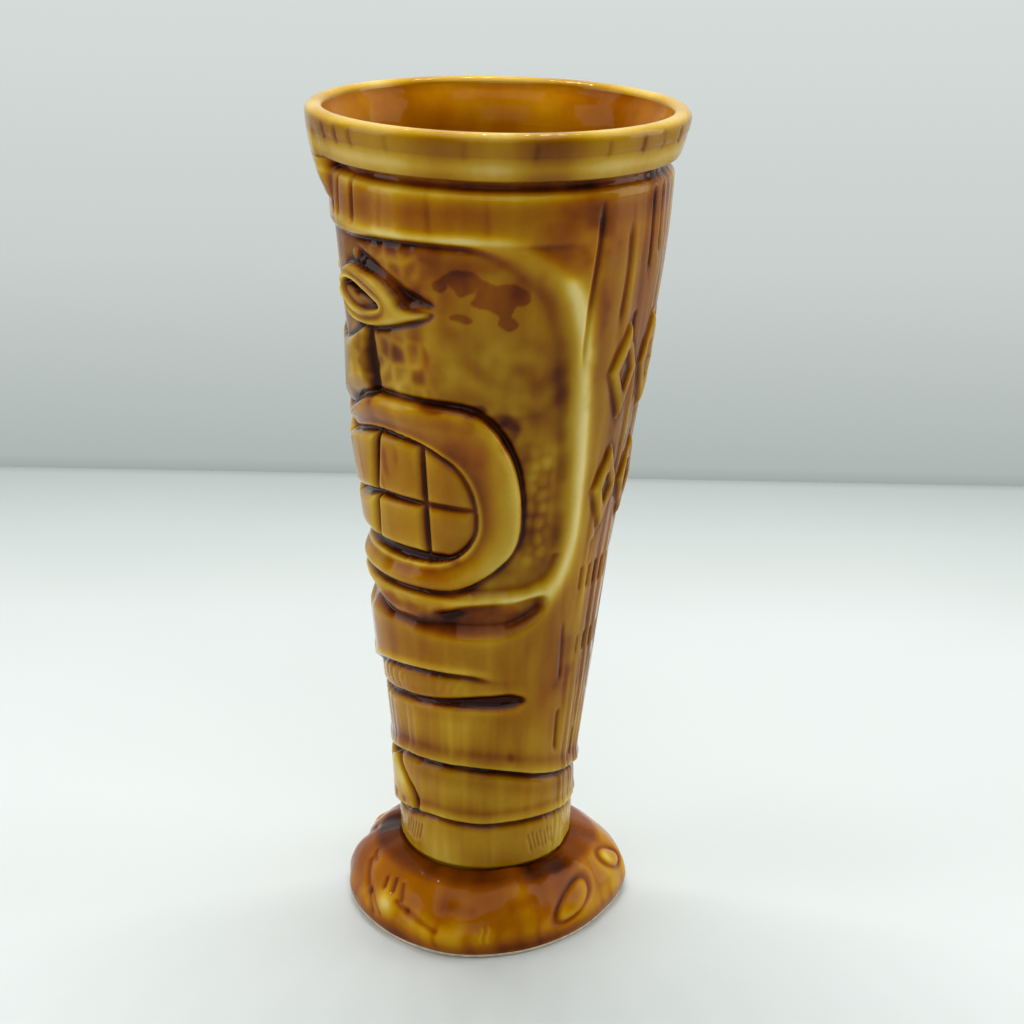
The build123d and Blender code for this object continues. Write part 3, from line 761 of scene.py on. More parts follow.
def smooth_seams(labels):
    """Grid places of the mesh vertices, with the stair-steps along the seams evened out."""
    shift = np.zeros((ROWS + 1, COLUMNS, 2))
    below = np.vstack([labels[:1], labels])
    above = np.vstack([labels, labels[-1:]])
    left_below, left_above = np.roll(below, 1, 1), np.roll(above, 1, 1)
    seam_right = below != above                  # edge from this vertex to the next column
    seam_up = above != left_above                # edge from this vertex to the next row
    seam_up[-1] = False
    links = [(seam_right, 0, 1), (np.roll(seam_right, 1, 1), 0, -1),
             (seam_up, 1, 0), (np.vstack([np.zeros((1, COLUMNS), bool), seam_up[:-1]]), -1, 0)]
    count = sum(link[0].astype(int) for link in links)
    moving = count == 2
    moving[0] = moving[-1] = False
    for _ in range(14):
        total = np.zeros_like(shift)
        for linked, dj, di in links:
            neighbour = np.roll(np.roll(shift, -dj, 0), -di, 1) + [di, dj]
            total += np.where(linked[..., None], neighbour, 0)
        target = total / np.maximum(count, 1)[..., None]
        shift = np.where(moving[..., None], 0.5 * shift + 0.5 * target, shift)
        shift = np.clip(shift, -0.46, 0.46)
    column = np.arange(COLUMNS)[None, :] + shift[..., 0]
    row = np.arange(ROWS + 1)[:, None] + shift[..., 1]
    wide = np.concatenate([COLUMN_U[-1:] - 360, COLUMN_U, COLUMN_U[:2] + 360])
    u = np.interp(column + 1, np.arange(len(wide)), wide)
    z = np.interp(row, np.arange(ROWS + 1), ROW_Z)
    return u, z


def make_mesh(name, vertices, faces, normals=None, attributes=None):
    """A mesh object from vertices in mm; normals are one for each face corner."""
    mesh = bpy.data.meshes.new(name)
    mesh.vertices.add(len(vertices))
    mesh.vertices.foreach_set("co", (np.asarray(vertices) * MM).ravel())
    quads = np.asarray(faces, np.int32)
    mesh.loops.add(quads.size)
    mesh.loops.foreach_set("vertex_index", quads.ravel())
    mesh.polygons.add(len(quads))
    mesh.polygons.foreach_set("loop_start", np.arange(0, quads.size, 4, dtype=np.int32))
    mesh.update(calc_edges=True)
    for key, values in (attributes or {}).items():
        layer = mesh.attributes.new(key, "FLOAT", "POINT")
        layer.data.foreach_set("value", np.asarray(values, np.float32))
    mesh.validate()
    if normals is not None:
        mesh.polygons.foreach_set("use_smooth", np.ones(len(quads), bool))
        mesh.normals_split_custom_set(normals.tolist())
    obj = bpy.data.objects.new(name, mesh)
    bpy.context.scene.collection.objects.link(obj)
    return obj


def cut_piece(name, mask, outer, inner, normals, attributes):
    """Closes the cells of the mask into a solid: an outer skin, an inner skin and the walls round them."""
    rows, columns = outer.shape[:2]
    j, i = np.nonzero(mask)
    i2 = (i + 1) % columns
    quads = np.stack([j * columns + i, j * columns + i2, (j + 1) * columns + i2, (j + 1) * columns + i], 1)
    used, local = np.unique(quads, return_inverse=True)
    local = local.reshape(quads.shape)
    n = len(used)
    size = n + 1
    start, end = local.ravel(), np.roll(local, -1, 1).ravel()
    keys, back = start * size + end, end * size + start
    open_edge = ~np.isin(keys, back)
    p, q = start[open_edge], end[open_edge]
    walls = np.stack([q, p, p + n, q + n], 1)
    inner_faces = local[:, ::-1] + n
    points = np.vstack([outer.reshape(-1, 3)[used], inner.reshape(-1, 3)[used]])
    faces = np.vstack([local, inner_faces, walls])
    flat = points[faces]
    plain = np.cross(flat[:, 2] - flat[:, 0], flat[:, 3] - flat[:, 1])
    plain /= np.maximum(np.linalg.norm(plain, axis=1, keepdims=True), 1e-12)
    loops = np.repeat(plain[:, None], 4, 1)
    loops[:len(local)] = normals.reshape(-1, 3)[used][local]
    values = {key: np.tile(field.ravel()[used], 2) for key, field in attributes.items()}
    return make_mesh(name, points, faces, loops.reshape(-1, 3), values)


def upright(radius, u, z):
    """Points at these radii, azimuths and heights."""
    turn = np.radians(u)
    return np.stack([radius * np.sin(turn), -radius * np.cos(turn), z + 0 * turn], -1)


def keep(obj, node, slot, material):
    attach(obj, "root")
    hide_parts(node)
    obj.data.materials.append(material)
    return obj


# ---------------------------------------------------------------- materials
def rgb(red, green, blue):
    """A display colour as linear light."""
    return tuple(((c / 255 + 0.055) / 1.055) ** 2.4 if c > 10 else c / 255 / 12.92 for c in (red, green,
                 blue)) + (1,)


def node(tree, kind, x, y, **values):
    n = tree.nodes.new(kind)
    n.location = (x, y)
    for key, value in values.items():
        if hasattr(n, key) and key not in n.inputs:
            setattr(n, key, value)
        else:
            n.inputs[key.replace("_", " ")].default_value = value
    return n


def ramp(tree, x, y, stops):
    n = tree.nodes.new("ShaderNodeValToRGB")
    n.location = (x, y)
    elements = n.color_ramp.elements
    while len(elements) < len(stops):
        elements.new(0.5)
    for element, (place, colour) in zip(elements, stops):
        element.position = place
        element.color = rgb(*colour) if len(colour) == 3 else colour
    return n


def math_node(tree, x, y, operation, first, second, clamp=False):
    n = tree.nodes.new("ShaderNodeMath")
    n.location = (x, y)
    n.operation, n.use_clamp = operation, clamp
    for socket, value in zip(n.inputs, (first, second)):
        if isinstance(value, (int, float)):
            socket.default_value = value
        else:
            tree.links.new(value, socket)
    return n.outputs[0]


def noise(tree, coordinates, x, y, scale, stretch=(1, 1, 1), detail=3.0, roughness=0.5):
    mapping = tree.nodes.new("ShaderNodeMapping")
    mapping.location = (x - 200, y)
    mapping.inputs["Scale"].default_value = stretch
    tree.links.new(coordinates, mapping.inputs["Vector"])
    n = tree.nodes.new("ShaderNodeTexNoise")
    n.location = (x, y)
    n.inputs["Scale"].default_value = scale
    n.inputs["Detail"].default_value = detail
    n.inputs["Roughness"].default_value = roughness
    tree.links.new(mapping.outputs[0], n.inputs["Vector"])
    return n.outputs["Fac"]


def glaze(name, stops, warm_stops=None, tone=None, blotch=0.16, streak=0.12, speckle=0.05, roughness=0.06,
          bump=0.12,
          gloss=0.2):
    """Runny glossy glaze: its colour goes from dark pools to light thin edges."""
    material = bpy.data.materials.new(name)
    material.use_nodes = True
    tree = material.node_tree
    tree.nodes.clear()
    output = node(tree, "ShaderNodeOutputMaterial", 900, 0)
    shader = node(tree, "ShaderNodeBsdfPrincipled", 600, 0)
    tree.links.new(shader.outputs[0], output.inputs[0])
    place = node(tree, "ShaderNodeTexCoord", -1400, 0).outputs["Object"]
    if tone is None:
        attribute = node(tree, "ShaderNodeAttribute", -900, 300, attribute_name="tone")
        base = attribute.outputs["Fac"]
    else:
        base = tone
    blotches = noise(tree, place, -900, 100, 42, detail=2.5)
    streaks = noise(tree, place, -900, -150, 260, stretch=(1, 1, 0.12), detail=2.0)
    speckles = noise(tree, place, -900, -400, 900, detail=2.0)
    value = math_node(tree, -600, 200, "MULTIPLY_ADD", blotches, blotch)
    value.node.inputs[2].default_value = -0.5 * (blotch + streak + speckle)
    total = math_node(tree, -450, 200, "ADD", value, base)
    total = math_node(tree, -300, 200, "MULTIPLY_ADD", streaks, streak)
    tree.links.new(math_node(tree, -450, 350, "ADD", value, base), total.node.inputs[2])
    final = math_node(tree, -150, 200, "MULTIPLY_ADD", speckles, speckle, clamp=True)
    tree.links.new(total, final.node.inputs[2])
    colours = ramp(tree, 50, 200, stops)
    tree.links.new(final, colours.inputs[0])
    colour = colours.outputs[0]
    if warm_stops:
        warm = ramp(tree, 50, 450, warm_stops)
        tree.links.new(final, warm.inputs[0])
        mix = node(tree, "ShaderNodeMix", 350, 300, data_type="RGBA")
        warmth = node(tree, "ShaderNodeAttribute", 50, 700, attribute_name="warmth")
        tree.links.new(warmth.outputs["Fac"], mix.inputs["Factor"])
        tree.links.new(colour, mix.inputs["A"])
        tree.links.new(warm.outputs[0], mix.inputs["B"])
        colour = mix.outputs["Result"]
    tree.links.new(colour, shader.inputs["Base Color"])
    ripples = noise(tree, place, -300, -300, 330, detail=1.5)
    bumps = node(tree, "ShaderNodeBump", 300, -300, Strength=bump, Distance=0.0006)
    tree.links.new(ripples, bumps.inputs["Height"])
    tree.links.new(bumps.outputs[0], shader.inputs["Normal"])
    shader.inputs["Roughness"].default_value = roughness
    shader.inputs["Specular IOR Level"].default_value = gloss
    return material


OLIVE = [(0.0, (34, 8, 0)), (0.18, (94, 46, 0)), (0.36, (136, 86, 0)), (0.52, (162, 120, 12)),
         (0.68, (182, 146, 38)),
         (0.84, (202, 174, 74)), (1.0, (224, 204, 134))]
ORANGE = [(0.0, (38, 8, 0)), (0.18, (100, 42, 0)), (0.36, (140, 74, 0)), (0.52, (164, 106, 0)),
          (0.68, (186, 136, 6)),
          (0.84, (206, 168, 52)), (1.0, (224, 202, 124))]
LAVA = [(0.0, (50, 14, 0)), (0.16, (102, 46, 0)), (0.32, (132, 66, 0)), (0.48, (156, 90, 0)),
        (0.62, (180, 124, 0)),
        (0.80, (198, 156, 36)), (1.0, (220, 196, 116))]
INSIDE = [(0.0, (90, 36, 0)), (0.3, (134, 70, 0)), (0.5, (164, 100, 0)), (0.72, (190, 134, 8)),
          (1.0, (210, 172, 66))]
RIM = [(0.0, (54, 18, 0)), (0.2, (116, 62, 0)), (0.42, (150, 98, 0)), (0.55, (168, 122, 4)),
       (0.72, (190, 150, 40)),
       (0.86, (208, 176, 92)), (1.0, (222, 198, 140))]

amber_glaze = glaze("amber_glaze", OLIVE, ORANGE, blotch=0.22, streak=0.05, gloss=0.13)
rim_glaze = glaze("rim_glaze", RIM, gloss=0.16)
lava_glaze = glaze("lava_glaze", LAVA, blotch=0.80, streak=0.05, roughness=0.10, gloss=0.08)
inside_glaze = glaze("inside_glaze", INSIDE, tone=0.5, blotch=0.95, streak=0.12, gloss=0.06)


def bare_clay_material():
    material = bpy.data.materials.new("bare_clay")
    material.use_nodes = True
    tree = material.node_tree
    shader = tree.nodes["Principled BSDF"]
    place = node(tree, "ShaderNodeTexCoord", -900, 0).outputs["Object"]
    grains = noise(tree, place, -500, 0, 700, detail=4.0)
    colours = ramp(tree, -250, 0, [(0.3, (196, 176, 146)), (0.7, (226, 212, 188))])
    tree.links.new(grains, colours.inputs[0])
    tree.links.new(colours.outputs[0], shader.inputs["Base Color"])
    bumps = node(tree, "ShaderNodeBump", -250, -300, Strength=0.3, Distance=0.0003)
    tree.links.new(grains, bumps.inputs["Height"])
    tree.links.new(bumps.outputs[0], shader.inputs["Normal"])
    shader.inputs["Roughness"].default_value = 0.85
    return material


bare_clay = bare_clay_material()


# ---------------------------------------------------------------- the carved log
def build_log():
    labels = cell_labels()
    u, z = smooth_seams(labels)
    relief = np.clip(sample(RELIEF, u, z), -2.7, 3.0)
    outer = upright(log_radius(z) + relief, u, z)
    inner = upright(np.where(z < FOOT_TOP, CORE_RADIUS, log_radius(z) - CORE_DEPTH), u, z)
    normals = sample(NORMALS, u, z)
    attributes = {"tone": sample(TONE, u, z), "warmth": sample(WARMTH, u, z)}
    for name in NAMES:
        mask = labels == CODE[name]
        node_names = {"back_panel_left": "back_panel", "back_panel_right": "back_panel",
                      "cheek_left": "log_cup", "cheek_right": "log_cup"}.get(name, name)
        keep(cut_piece(name, mask, outer, inner, normals, attributes), node_names, "amber_glaze",
             amber_glaze)


build_log()


# ---------------------------------------------------------------- rings: rim, cup, foot
def sweep(name, section, columns, tone=None):
    """A closed ring from section(azimuth) -> (radii, heights), a loop that runs up the outside."""
    u = np.arange(columns) * 360.0 / columns
    radii, heights = section(u)
    points = upright(radii, u[None, :], heights)
    count = points.shape[0]
    k, i = np.meshgrid(np.arange(count), np.arange(columns), indexing="ij")
    k2, i2 = (k + 1) % count, (i + 1) % columns
    faces = np.stack([k * columns + i, k * columns + i2, k2 * columns + i2, k2 * columns + i],
                     -1).reshape(-1, 4)
    attributes = {"tone": (tone(u, radii, heights) if tone else np.full(radii.shape, 0.5)).ravel()}
    obj = make_mesh(name, points.reshape(-1, 3), faces, None, attributes)
    obj.data.polygons.foreach_set("use_smooth", np.ones(len(obj.data.polygons), bool))
    obj.data.set_sharp_from_angle(angle=math.radians(42))
    return obj


def angle_from(u, azimuth):
    return (u - azimuth + 180) % 360 - 180


RIM_GRAIN = [(24, 0.30), (31, 0.34), (38, 0.26), (52, 0.12), (76, 0.10), (96, 0.12), (118, 0.18),
             (131, 0.30),
             (141, 0.16), (152, 0.30), (168, 0.2), (186, 0.3), (203, 0.18), (216, 0.3), (233, 0.22),
             (251, 0.2),
             (270, 0.12), (297, 0.1), (322, 0.26), (330, 0.32), (337, 0.26)]


def rim_face(u, z):
    """Radius of the rim's outside: a rounded underside, a bevel, an upright face, and a gusset in front."""
    plain = through([(35.1, LOG_TOP), (36.3, 168.75), (37.0, 169.5), (37.45, 170.6), (37.85, 172.0),
                    (38.15, 173.3),
                     (38.2, 173.7), (38.45, 174.2), (38.7, 175.2), (38.85, 176.3)], z)
    gusset = through([(37.5, LOG_TOP), (38.0, 170), (38.35, 172), (38.75, 175), (38.9, 178)], z)
    front = 1 - smoothstep(13.0, 16.5, np.abs(angle_from(u, 0)))
    radius = plain * (1 - front) + gusset * front
    for azimuth, depth in RIM_GRAIN:
        across = np.radians(angle_from(u, azimuth)) * 38
        radius = radius - depth * bell(across, 0.5) * smoothstep(172.4, 174, z) * (1
                - smoothstep(175.6, 176.6, z))
    return radius


def rim_section(u):
    ones = np.ones((1, len(u)))
    up = np.concatenate([np.linspace(LOG_TOP, 170, 9)[:-1], np.linspace(170, 176.3, 26)])
    radii = [rim_face(u, np.full(u.shape, z))[None] for z in up]
    heights = list(up)
    turn = np.radians(np.linspace(8, 90, 9))
    for t in turn:
        radii.append((RIM_RADIUS - 1.7 + 1.7 * math.cos(t) - 0.05 * (t < 1)) * ones)
        heights.append(176.3 + 1.7 * math.sin(t))
    for t in turn[::-1]:
        radii.append((35.1 + 1.5 - 1.5 * math.cos(t)) * ones)
        heights.append(176.5 + 1.5 * math.sin(t))
    for radius, z in ((34.75, 175.7), (34.3, 174.9), (33.85, 174.1), (33.4, 173.2), (33.0, 172.3),
                      (32.65, 171.4),
                      (32.35, 170.4), (32.1, 169.3), (32.0, RIM_BOTTOM)):
        radii.append(radius * ones)
        heights.append(z)
    return np.vstack(radii), np.array(heights)[:, None] * ones


def rim_tone(u, radii, heights):
    rng = np.random.default_rng(51)
    tone = np.full(radii.shape, 0.52)
    for turns in range(1, 15):
        tone = tone + 0.045 * np.sin(np.radians(u * turns) + rng.uniform(0, 6.28)) * rng.uniform(0.3, 1)
    outside = radii > 36
    for azimuth, depth in RIM_GRAIN:
        across = np.radians(angle_from(u, azimuth)) * 38
        marked = smoothstep(172.2, 173.8, heights) * (1 - smoothstep(175.8, 177, heights)) * outside
        tone = tone - (0.7 * bell(across, 0.6) + 0.25 * bell(across, 2.2)) * depth * marked
    tone = tone - 0.07 * smoothstep(173.2, 174.2, heights) * (1 - smoothstep(176, 177, heights)) * outside
    # The band round 171.2 mm is a painted reflection of the pale table on the rim's downward-facing bevel.
    tone = tone + 0.20 * smoothstep(176.6, 177.7, heights) + 0.22 * bell(heights - 171.2, 1.6) * outside
    # The darkening below 169.3 mm on the outside is painted shade in the groove under the rim's overhang,
    # where glaze also pools.
    tone = tone - 0.06 * bell(heights - 173.6, 0.3) * outside - 0.3 * smoothstep(169.3, 168.5,
            heights) * outside
    tone = tone - 0.10 * smoothstep(176.2, 175.0, heights) * (radii < 35)
    return np.clip(tone, 0, 1)


rim_ring = keep(sweep("rim_ring", rim_section, 720, rim_tone), "rim_band", "amber_glaze", rim_glaze)
rim_ring.data.materials.append(inside_glaze)
for face in rim_ring.data.polygons:
    centre = face.center / MM
    if math.hypot(centre.x, centre.y) < 35.0 and centre.z < 177.0:
        face.material_index = 1


def cup_section(u):
    z = np.linspace(FOOT_TOP, RIM_BOTTOM, 60)
    outside = np.vstack([[[CORE_RADIUS, BASE_RECESS], [CORE_RADIUS, FOOT_TOP]],
                        np.stack([log_radius(z) - CORE_DEPTH, z], 1)])
    z = np.linspace(RIM_BOTTOM, FLOOR_LEVEL + 5, 70)
    reach = float(log_radius(FLOOR_LEVEL + 5)) - WALL
    inside = np.stack([log_radius(z) - WALL, z], 1)
    turn = np.radians(np.linspace(0, 90, 9))[1:]
    floor = np.stack([reach - 5 + 5 * np.cos(turn), FLOOR_LEVEL + 5 - 5 * np.sin(turn)], 1)
    middle = [[reach - 7.5, FLOOR_LEVEL], [4, FLOOR_LEVEL], [0.02, FLOOR_LEVEL], [0.02, BASE_RECESS],
              [8, BASE_RECESS]]
    section = np.vstack([outside, inside, floor, middle])
    ones = np.ones((1, len(u)))
    wave = 1 + 0.004 * np.sin(np.radians(u * 3 + 40)) + 0.003 * np.sin(np.radians(u * 5))
    radii = section[:, :1] * ones
    inner = slice(len(outside), len(outside) + len(inside))
    fade = smoothstep(RIM_BOTTOM, RIM_BOTTOM - 8, section[inner, 1:2])
    radii[inner] = radii[inner] * (1 + (wave[None] - 1) * fade)
    return radii, section[:, 1:] * ones


keep(sweep("cup_inside", cup_section, 240), "log_cup", "inside_glaze", inside_glaze)


# The foot: a spreading lobed skirt like cooled lava, with chips, creases and three stones.
FOOT_RADIUS = 31.2
RING_INNER = 24.6           # inside radius of the unglazed ring
LOBES = [(0, 31.0), (28, 30.6), (58, 31.7), (70, 32.2), (95, 31.2), (124, 29.7), (150, 29.8), (179, 32.3),
         (205, 31.6), (228, 30.2), (252, 31.5), (276, 30.5), (302, 31.6), (330, 30.5), (360, 31.0)]
FOOT_SIDE = [(30.5, 0.8), (31.0, 2.0), (31.2, 3.6), (30.7, 5.6), (29.4, 8.2), (27.2, 10.8), (24.5, 13.0),
             (21.9, 14.3),
             (19.7, 14.9), (18.5, 14.6)]
STONES = {"lava_stone_left": (131, 7.9, 12.5, 2.6, 0.32), "lava_stone_back": (168, 9.8, 7.5, 2.2, -0.3),
          "lava_stone_right": (232, 7.9, 9.5, 2.8, -0.35)}


def build_foot():
    columns = 560
    u = np.arange(columns) * 360.0 / columns
    padded = [(r, a - 360) for a, r in LOBES[:-1]] + [(r, a) for a, r in LOBES] + [(r, a + 360) for a,
            r in LOBES[1:]]
    lobe = through(padded, u) / FOOT_RADIUS
    levels = 96
    t = np.linspace(0, 1, levels)
    places = np.linspace(0, 1, len(FOOT_SIDE))
    profile_r = through([(r, k) for (r, _), k in zip(FOOT_SIDE, places)], t)[:, None]
    profile_z = through([(z, k) for (_, z), k in zip(FOOT_SIDE, places)], t)[:, None]
    spread = smoothstep(20.5, 29, profile_r)
    radius = profile_r * (1 + (lobe[None] - 1) * spread)
    grid_u = np.broadcast_to(u, radius.shape)
    rise = through(COLLAR, u)[None] / FOOT_SIDE[-1][1]
    height = DRY_RING + (profile_z - DRY_RING) * (1 + (rise - 1) * smoothstep(0, 0.5, t)[:, None])
    span = np.radians(1) * 27

    def near(azimuth):
        return angle_from(grid_u, azimuth)

    def slash(u0, z0, u1, z1, width, depth):
        """A straight groove between two places on the foot."""
        x, y = near(u0) * span, height - z0
        dx, dy = (angle_from(u1, u0)) * span, z1 - z0
        k = np.clip((x * dx + y * dy) / (dx * dx + dy * dy), 0, 1)
        return -depth * bell(np.hypot(x - k * dx, y - k * dy), width)

    rng = np.random.default_rng(61)
    push, light = np.zeros(radius.shape), np.zeros(radius.shape)
    for turns in range(3, 26):
        push = push + (0.55 / turns) * np.sin(np.radians(grid_u * turns) + height * rng.uniform(-0.35, 0.35)
                                              + rng.uniform(0, 6.28))
    for mirror in (1, -1):
        for u0, z0, u1, z1, width, depth in (
                (33, 12.4, 35, 10.6, 0.45, 0.40), (38.5, 12.8, 40.5, 10.8, 0.5, 0.45),
                (44, 12.6, 47, 10.2, 0.45, 0.35), (45, 9.4, 52, 8.6, 0.45, 0.30),
                (52, 8.6, 66, 6.2, 0.7, 0.35), (14, 12.6, 27, 8.2, 0.8, 0.40),
                (27, 8.2, 33, 4.6, 0.8, 0.35), (30, 8.6, 38, 5.2, 0.5, 0.22),
                (12, 14.2, 18, 13.4, 0.5, 0.30),
                (68, 11.5, 80, 11.0, 1.2, 0.20), (98, 11.2, 108, 11.8, 1.2, 0.20)):
            push = push + slash(mirror * u0, 0.88 * z0, mirror * u1, 0.88 * z1, width, depth)
        for shift in (0, 2.8):
            wave = near(mirror * (84.5 + shift)) * span + 0.2 * np.sin(height * 1.7)
            push = push + 0.16 * bell(wave, 0.26) * smoothstep(3.4, 4.2, height) * (1
                    - smoothstep(6.8, 7.6, height))
        x, y = near(mirror * 40) * span, height - 7.2
        leaf = bell(np.hypot(x / 3.0, (y + 0.25 * x * mirror) / 2.2), 1.0)
        push = push + 0.9 * leaf
        light = light + 0.16 * leaf
    marks = {}
    for name, (azimuth, level, wide, tall, tilt) in STONES.items():
        x, y = near(azimuth), height - level
        d = np.sqrt((x / wide) ** 2 + ((y - tilt * x * span) / tall) ** 2)
        push = push + np.where(d < 1, 0.6 * np.sqrt(np.clip(1 - d * d, 0, 1)) - 0.1, 0)
        push = push - (0.24 + 0.14 * np.sin(np.radians(3 * azimuth) + 2
                       * np.arctan2(y, x * span))) * bell((d - 1.05) * tall, 0.6)
        marks[name] = d
    push = push * smoothstep(0, 0.12, t)[:, None] * (1 - 0.8 * smoothstep(0.86, 1.0, t))[:, None]
    slope_r = np.gradient(profile_r[:, 0], t)
    slope_z = np.gradient(profile_z[:, 0], t)
    length = np.hypot(slope_r, slope_z)
    out_r, out_z = (slope_z / length)[:, None], (-slope_r / length)[:, None]
    surface_r = radius + push * out_r
    surface_z = height + push * out_z

    outer = upright(surface_r, grid_u, surface_z)
    # The back skin runs under the foot and up the bore, following the outer one level for level.
    ring_in = RING_INNER * (1 + (lobe - 1) * 0.9)
    back_r = np.interp(t, [0, 0.22, 0.30, 0.60, 0.66, 1.0], [0, 0, 1, 2, 2, 2])[:, None]
    under = np.where(back_r <= 1, ring_in[None] + 0 * back_r, ring_in[None] + (17.8 - ring_in[None])
                     * (back_r - 1))
    under_z = np.interp(t, [0, 0.22, 0.30, 0.60, 0.66, 1.0],
                        [DRY_RING, DRY_RING, BASE_RECESS, BASE_RECESS, BASE_RECESS, FOOT_TOP])
    shrink = np.interp(t, [0, 0.22], [1, 0])[:, None]
    under = under + shrink * (surface_r[:1] - 0.9 - ring_in[None])
    # The last stretch climbs the step that holds the end of the log.
    climb = np.clip((t - 0.66) / 0.34, 0, 1)
    under_z = np.where(t > 0.66, np.interp(climb, [0, 0.5, 1], [BASE_RECESS, LOG_BOTTOM, LOG_BOTTOM]),
                       under_z)
    under = np.where((climb > 0.75)[:, None], 18.4, under)
    inner = upright(under, grid_u, under_z[:, None] + 0 * under)

    du = np.roll(outer, -1, 1) - np.roll(outer, 1, 1)
    dt = np.gradient(outer, axis=0)
    normals = np.cross(du, dt)
    normals /= np.linalg.norm(normals, axis=-1, keepdims=True)

    soft = sum(np.roll(push, k, 1) for k in range(-7, 8)) / 15
    soft = sum(np.roll(soft, k, 0) for k in range(-5, 6)) / 11
    tone = 0.34 + 0.62 * (push - soft) + 0.16 * push + light
    tone = tone + 0.10 * bell(near(170), 60) - 0.10 * bell(height - 1.6, 1.4) + 0.14 * bell(height - 5.2,
            2.0)
    for drip in (3, 17, 26, 47, 59, 66, 79, 81, 92, 101, 109, 118, 143, 149, 157, 171, 188, 199, 212, 226,
                 244, 259, 268,
                 281, 290, 303, 319, 333, 347):
        tone = tone - rng.uniform(0.04, 0.14) * bell(near(drip + 0.8 * np.sin(height)),
                rng.uniform(0.8, 2.2)) \
            * smoothstep(9.5, 4, height)
    tone = tone - 0.26 * smoothstep(12.4, 14.0, height)
    for name in marks:
        tone = tone - 0.10 * bell((marks[name] - 1.05) * 3, 0.5)
    tone = np.clip(tone, 0, 1)

    cells = np.zeros((levels - 1, columns), int)
    for code, name in enumerate(STONES, 1):
        centre = (marks[name][:-1] + marks[name][1:]) / 2
        cells[(centre + np.roll(centre, -1, 1)) / 2 < 1.02] = code
    for code, name in enumerate(["lava_skirt"] + list(STONES)):
        obj = cut_piece(name, cells == code, outer, inner, normals, {"tone": tone})
        keep(obj, "lava_foot" if code == 0 else name, "lava_glaze", lava_glaze)
    return lobe


foot_lobe = build_foot()


def dry_ring_section(u):
    """The unglazed ring that the mug stands on."""
    scale = np.interp(u, np.arange(len(foot_lobe)) * 360.0 / len(foot_lobe), foot_lobe)
    edge = 30.5 * scale
    inner = RING_INNER * (1 + (scale - 1) * 0.9)
    radii = np.stack([edge - 0.5, edge - 0.15, edge, edge - 0.02, inner, inner, inner + 0.2, inner + 0.6])
    heights = np.array([0, 0.12, 0.4, DRY_RING, DRY_RING, 0.4, 0.12, 0])[:, None] * np.ones((1, len(u)))
    return radii, heights


keep(sweep("dry_ring", dry_ring_section, 560), "foot_ring", "bare_clay", bare_clay)


# ---------------------------------------------------------------- stage
CAMERA_AZIMUTH = math.radians(85)
CAMERA_AWAY, CAMERA_UP = 0.42385, 0.24262
PITCH, YAW, ROLL = math.radians(19.70), math.radians(0.62), math.radians(1.30)
TABLE_EDGE = 0.292
WALL_AWAY = 0.80


def camera_frame(x, y, z):
    """A vector given with the camera on -Y, turned to the camera's own azimuth."""
    c, s = math.cos(CAMERA_AZIMUTH), math.sin(CAMERA_AZIMUTH)
    return Vector((c * x - s * y, s * x + c * y, z))


def add_camera():
    data = bpy.data.cameras.new("camera")
    data.sensor_width, data.lens = 36, 73.83
    data.clip_start = 0.01
    camera = bpy.data.objects.new("camera", data)
    bpy.context.scene.collection.objects.link(camera)
    ahead = Vector((math.sin(YAW) * math.cos(PITCH), math.cos(YAW) * math.cos(PITCH), -math.sin(PITCH)))
    right = Vector((math.cos(YAW), -math.sin(YAW), 0))
    up = right.cross(ahead)
    c, s = math.cos(ROLL), math.sin(ROLL)
    axes = [camera_frame(*(c * right + s * up)), camera_frame(*(c * up - s * right)),
            camera_frame(*(-ahead))]
    turn = Matrix(axes).transposed().to_4x4()
    camera.matrix_world = Matrix.Translation(camera_frame(0, -CAMERA_AWAY, CAMERA_UP)) @ turn
    bpy.context.scene.camera = camera


def plain_material(name, first, second, scale, roughness):
    material = bpy.data.materials.new(name)
    material.use_nodes = True
    tree = material.node_tree
    shader = tree.nodes["Principled BSDF"]
    place = node(tree, "ShaderNodeTexCoord", -900, 0).outputs["Object"]
    cloud = noise(tree, place, -500, 0, scale, detail=2.0)
    colours = ramp(tree, -250, 0, [(0.3, first), (0.7, second)])
    tree.links.new(cloud, colours.inputs[0])
    tree.links.new(colours.outputs[0], shader.inputs["Base Color"])
    shader.inputs["Roughness"].default_value = roughness
    return material


def stage_value(tree, direction, scale):
    """Distance along a direction of the stage, times a scale, for a stage material's shading."""
    place = node(tree, "ShaderNodeTexCoord", -900, -700).outputs["Object"]
    along = node(tree, "ShaderNodeVectorMath", -700, -700, operation="DOT_PRODUCT")
    tree.links.new(place, along.inputs[0])
    along.inputs[1].default_value = direction
    return math_node(tree, -500, -700, "MULTIPLY_ADD", along.outputs["Value"], scale)


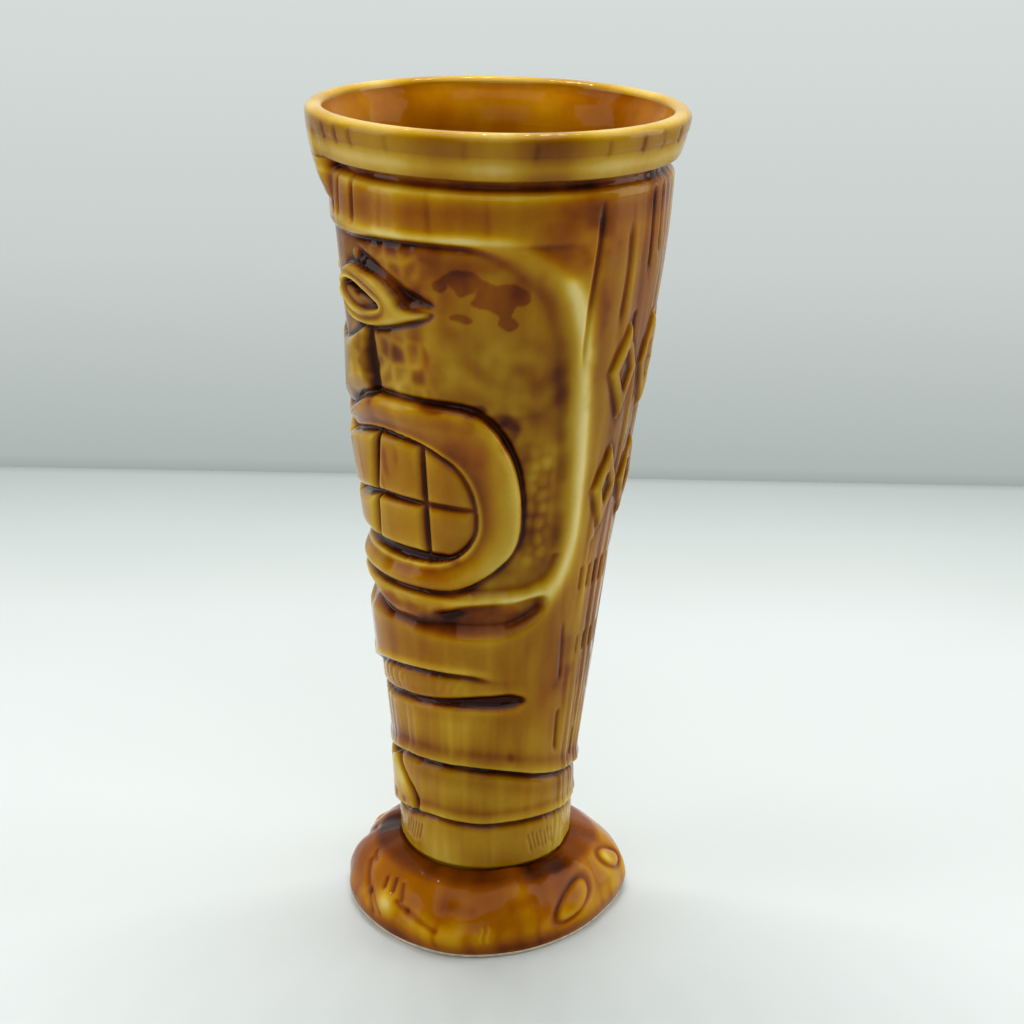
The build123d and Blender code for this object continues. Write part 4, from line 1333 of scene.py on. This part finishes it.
def table_white():
    """White paper that is greyer towards the table's far edge, where the light does not reach."""
    material = plain_material("table_white", (214, 218, 217), (220, 223, 222), 6, 0.5)
    tree = material.node_tree
    shader = tree.nodes["Principled BSDF"]
    away = stage_value(tree, camera_frame(0, 1, 0), 1 / TABLE_EDGE)
    away.node.inputs[2].default_value = 0.0
    shade = ramp(tree, -250, -700, [(0.0, (242, 244, 243)), (0.55, (238, 240, 239)),
                 (0.80, (222, 226, 224)),
                                    (0.93, (207, 212, 210)), (0.98, (200, 205, 203)),
                                    (1.0, (176, 182, 179))])
    tree.links.new(away, shade.inputs[0])
    both = node(tree, "ShaderNodeMix", 0, -300, data_type="RGBA", blend_type="MULTIPLY")
    both.inputs["Factor"].default_value = 1.0
    tree.links.new(shader.inputs["Base Color"].links[0].from_socket, both.inputs["A"])
    tree.links.new(shade.outputs[0], both.inputs["B"])
    tree.links.new(both.outputs["Result"], shader.inputs["Base Color"])
    return material


def wall_glow():
    """The light tent's far side, lit from behind, and dimmer low down."""
    material = plain_material("wall_glow", (20, 21, 21), (26, 27, 27), 3, 0.6)
    tree = material.node_tree
    shader = tree.nodes["Principled BSDF"]
    height = stage_value(tree, (0, 0, 1), 1.0)
    height.node.inputs[2].default_value = 0.5
    shade = ramp(tree, -250, -700, [(0.0, (150, 158, 155)), (0.327, (156, 165, 161)),
                 (0.336, (172, 181, 177)),
                                    (0.37, (180, 188, 185)), (0.46, (198, 205, 202)),
                                    (0.62, (211, 217, 214)),
                                    (1.0, (216, 222, 219))])
    tree.links.new(height, shade.inputs[0])
    tree.links.new(shade.outputs[0], shader.inputs["Emission Color"])
    shader.inputs["Emission Strength"].default_value = 1.0
    return material


def stage_sheet(name, section, half_width, material):
    """A sheet of the stage: its section (away, height) drawn out to both sides."""
    points = [camera_frame(side, y, z) for side in (-half_width, half_width) for y, z in section]
    n = len(section)
    mesh = bpy.data.meshes.new(name)
    mesh.from_pydata(points, [], [(k, n + k, n + k + 1, k + 1) for k in range(n - 1)])
    sheet = bpy.data.objects.new(name, mesh)
    bpy.context.scene.collection.objects.link(sheet)
    mesh.materials.append(material)


def add_backdrop():
    """A pale table top, and a pale wall well behind it that every view stands in front of."""
    stage_sheet("studio_table", [(-1.6, -0.0001), (TABLE_EDGE, -0.0001), (TABLE_EDGE + 0.002, -0.03)], 1.6,
                table_white())
    stage_sheet("studio_wall", [(WALL_AWAY, -1.2), (WALL_AWAY, 2.2)], 2.4, wall_glow())


def area_light(name, place, target, width, height, power, colour=(1, 1, 1)):
    data = bpy.data.lights.new(name, "AREA")
    data.shape, data.size, data.size_y = "RECTANGLE", width, height
    data.energy, data.color = power, colour
    lamp = bpy.data.objects.new(name, data)
    bpy.context.scene.collection.objects.link(lamp)
    lamp.location = camera_frame(*place)
    toward = camera_frame(*target) - lamp.location
    lamp.rotation_euler = toward.to_track_quat("-Z", "Y").to_euler()
    return lamp


def add_lights():
    world = bpy.data.worlds.new("studio")
    bpy.context.scene.world = world
    world.use_nodes = True
    background = world.node_tree.nodes["Background"]
    background.inputs[0].default_value = (0.86, 0.93, 0.92, 1)
    background.inputs[1].default_value = 0.15
    area_light("top_box", (0.0, -0.22, 0.80), (0, 0, 0.10), 0.7, 0.6, 2.7)
    area_light("left_box", (-0.62, -0.10, 0.30), (0, 0, 0.10), 0.34, 0.6, 1.7)
    area_light("right_box", (0.62, 0.06, 0.30), (0, 0, 0.10), 0.34, 0.6, 1.9)
    area_light("front_box", (-0.1, -1.3, 0.75), (0, 0, 0.10), 0.9, 0.7, 2.6)
    for k in range(11):
        area_light("strip_%d" % k, (-0.20 + 0.036 * k, 0.17, 0.62), (0, 0, 0.17), 0.016, 0.016, 0.22)


add_camera()
add_backdrop()
add_lights()
bpy.context.scene.view_settings.view_transform = "Standard"
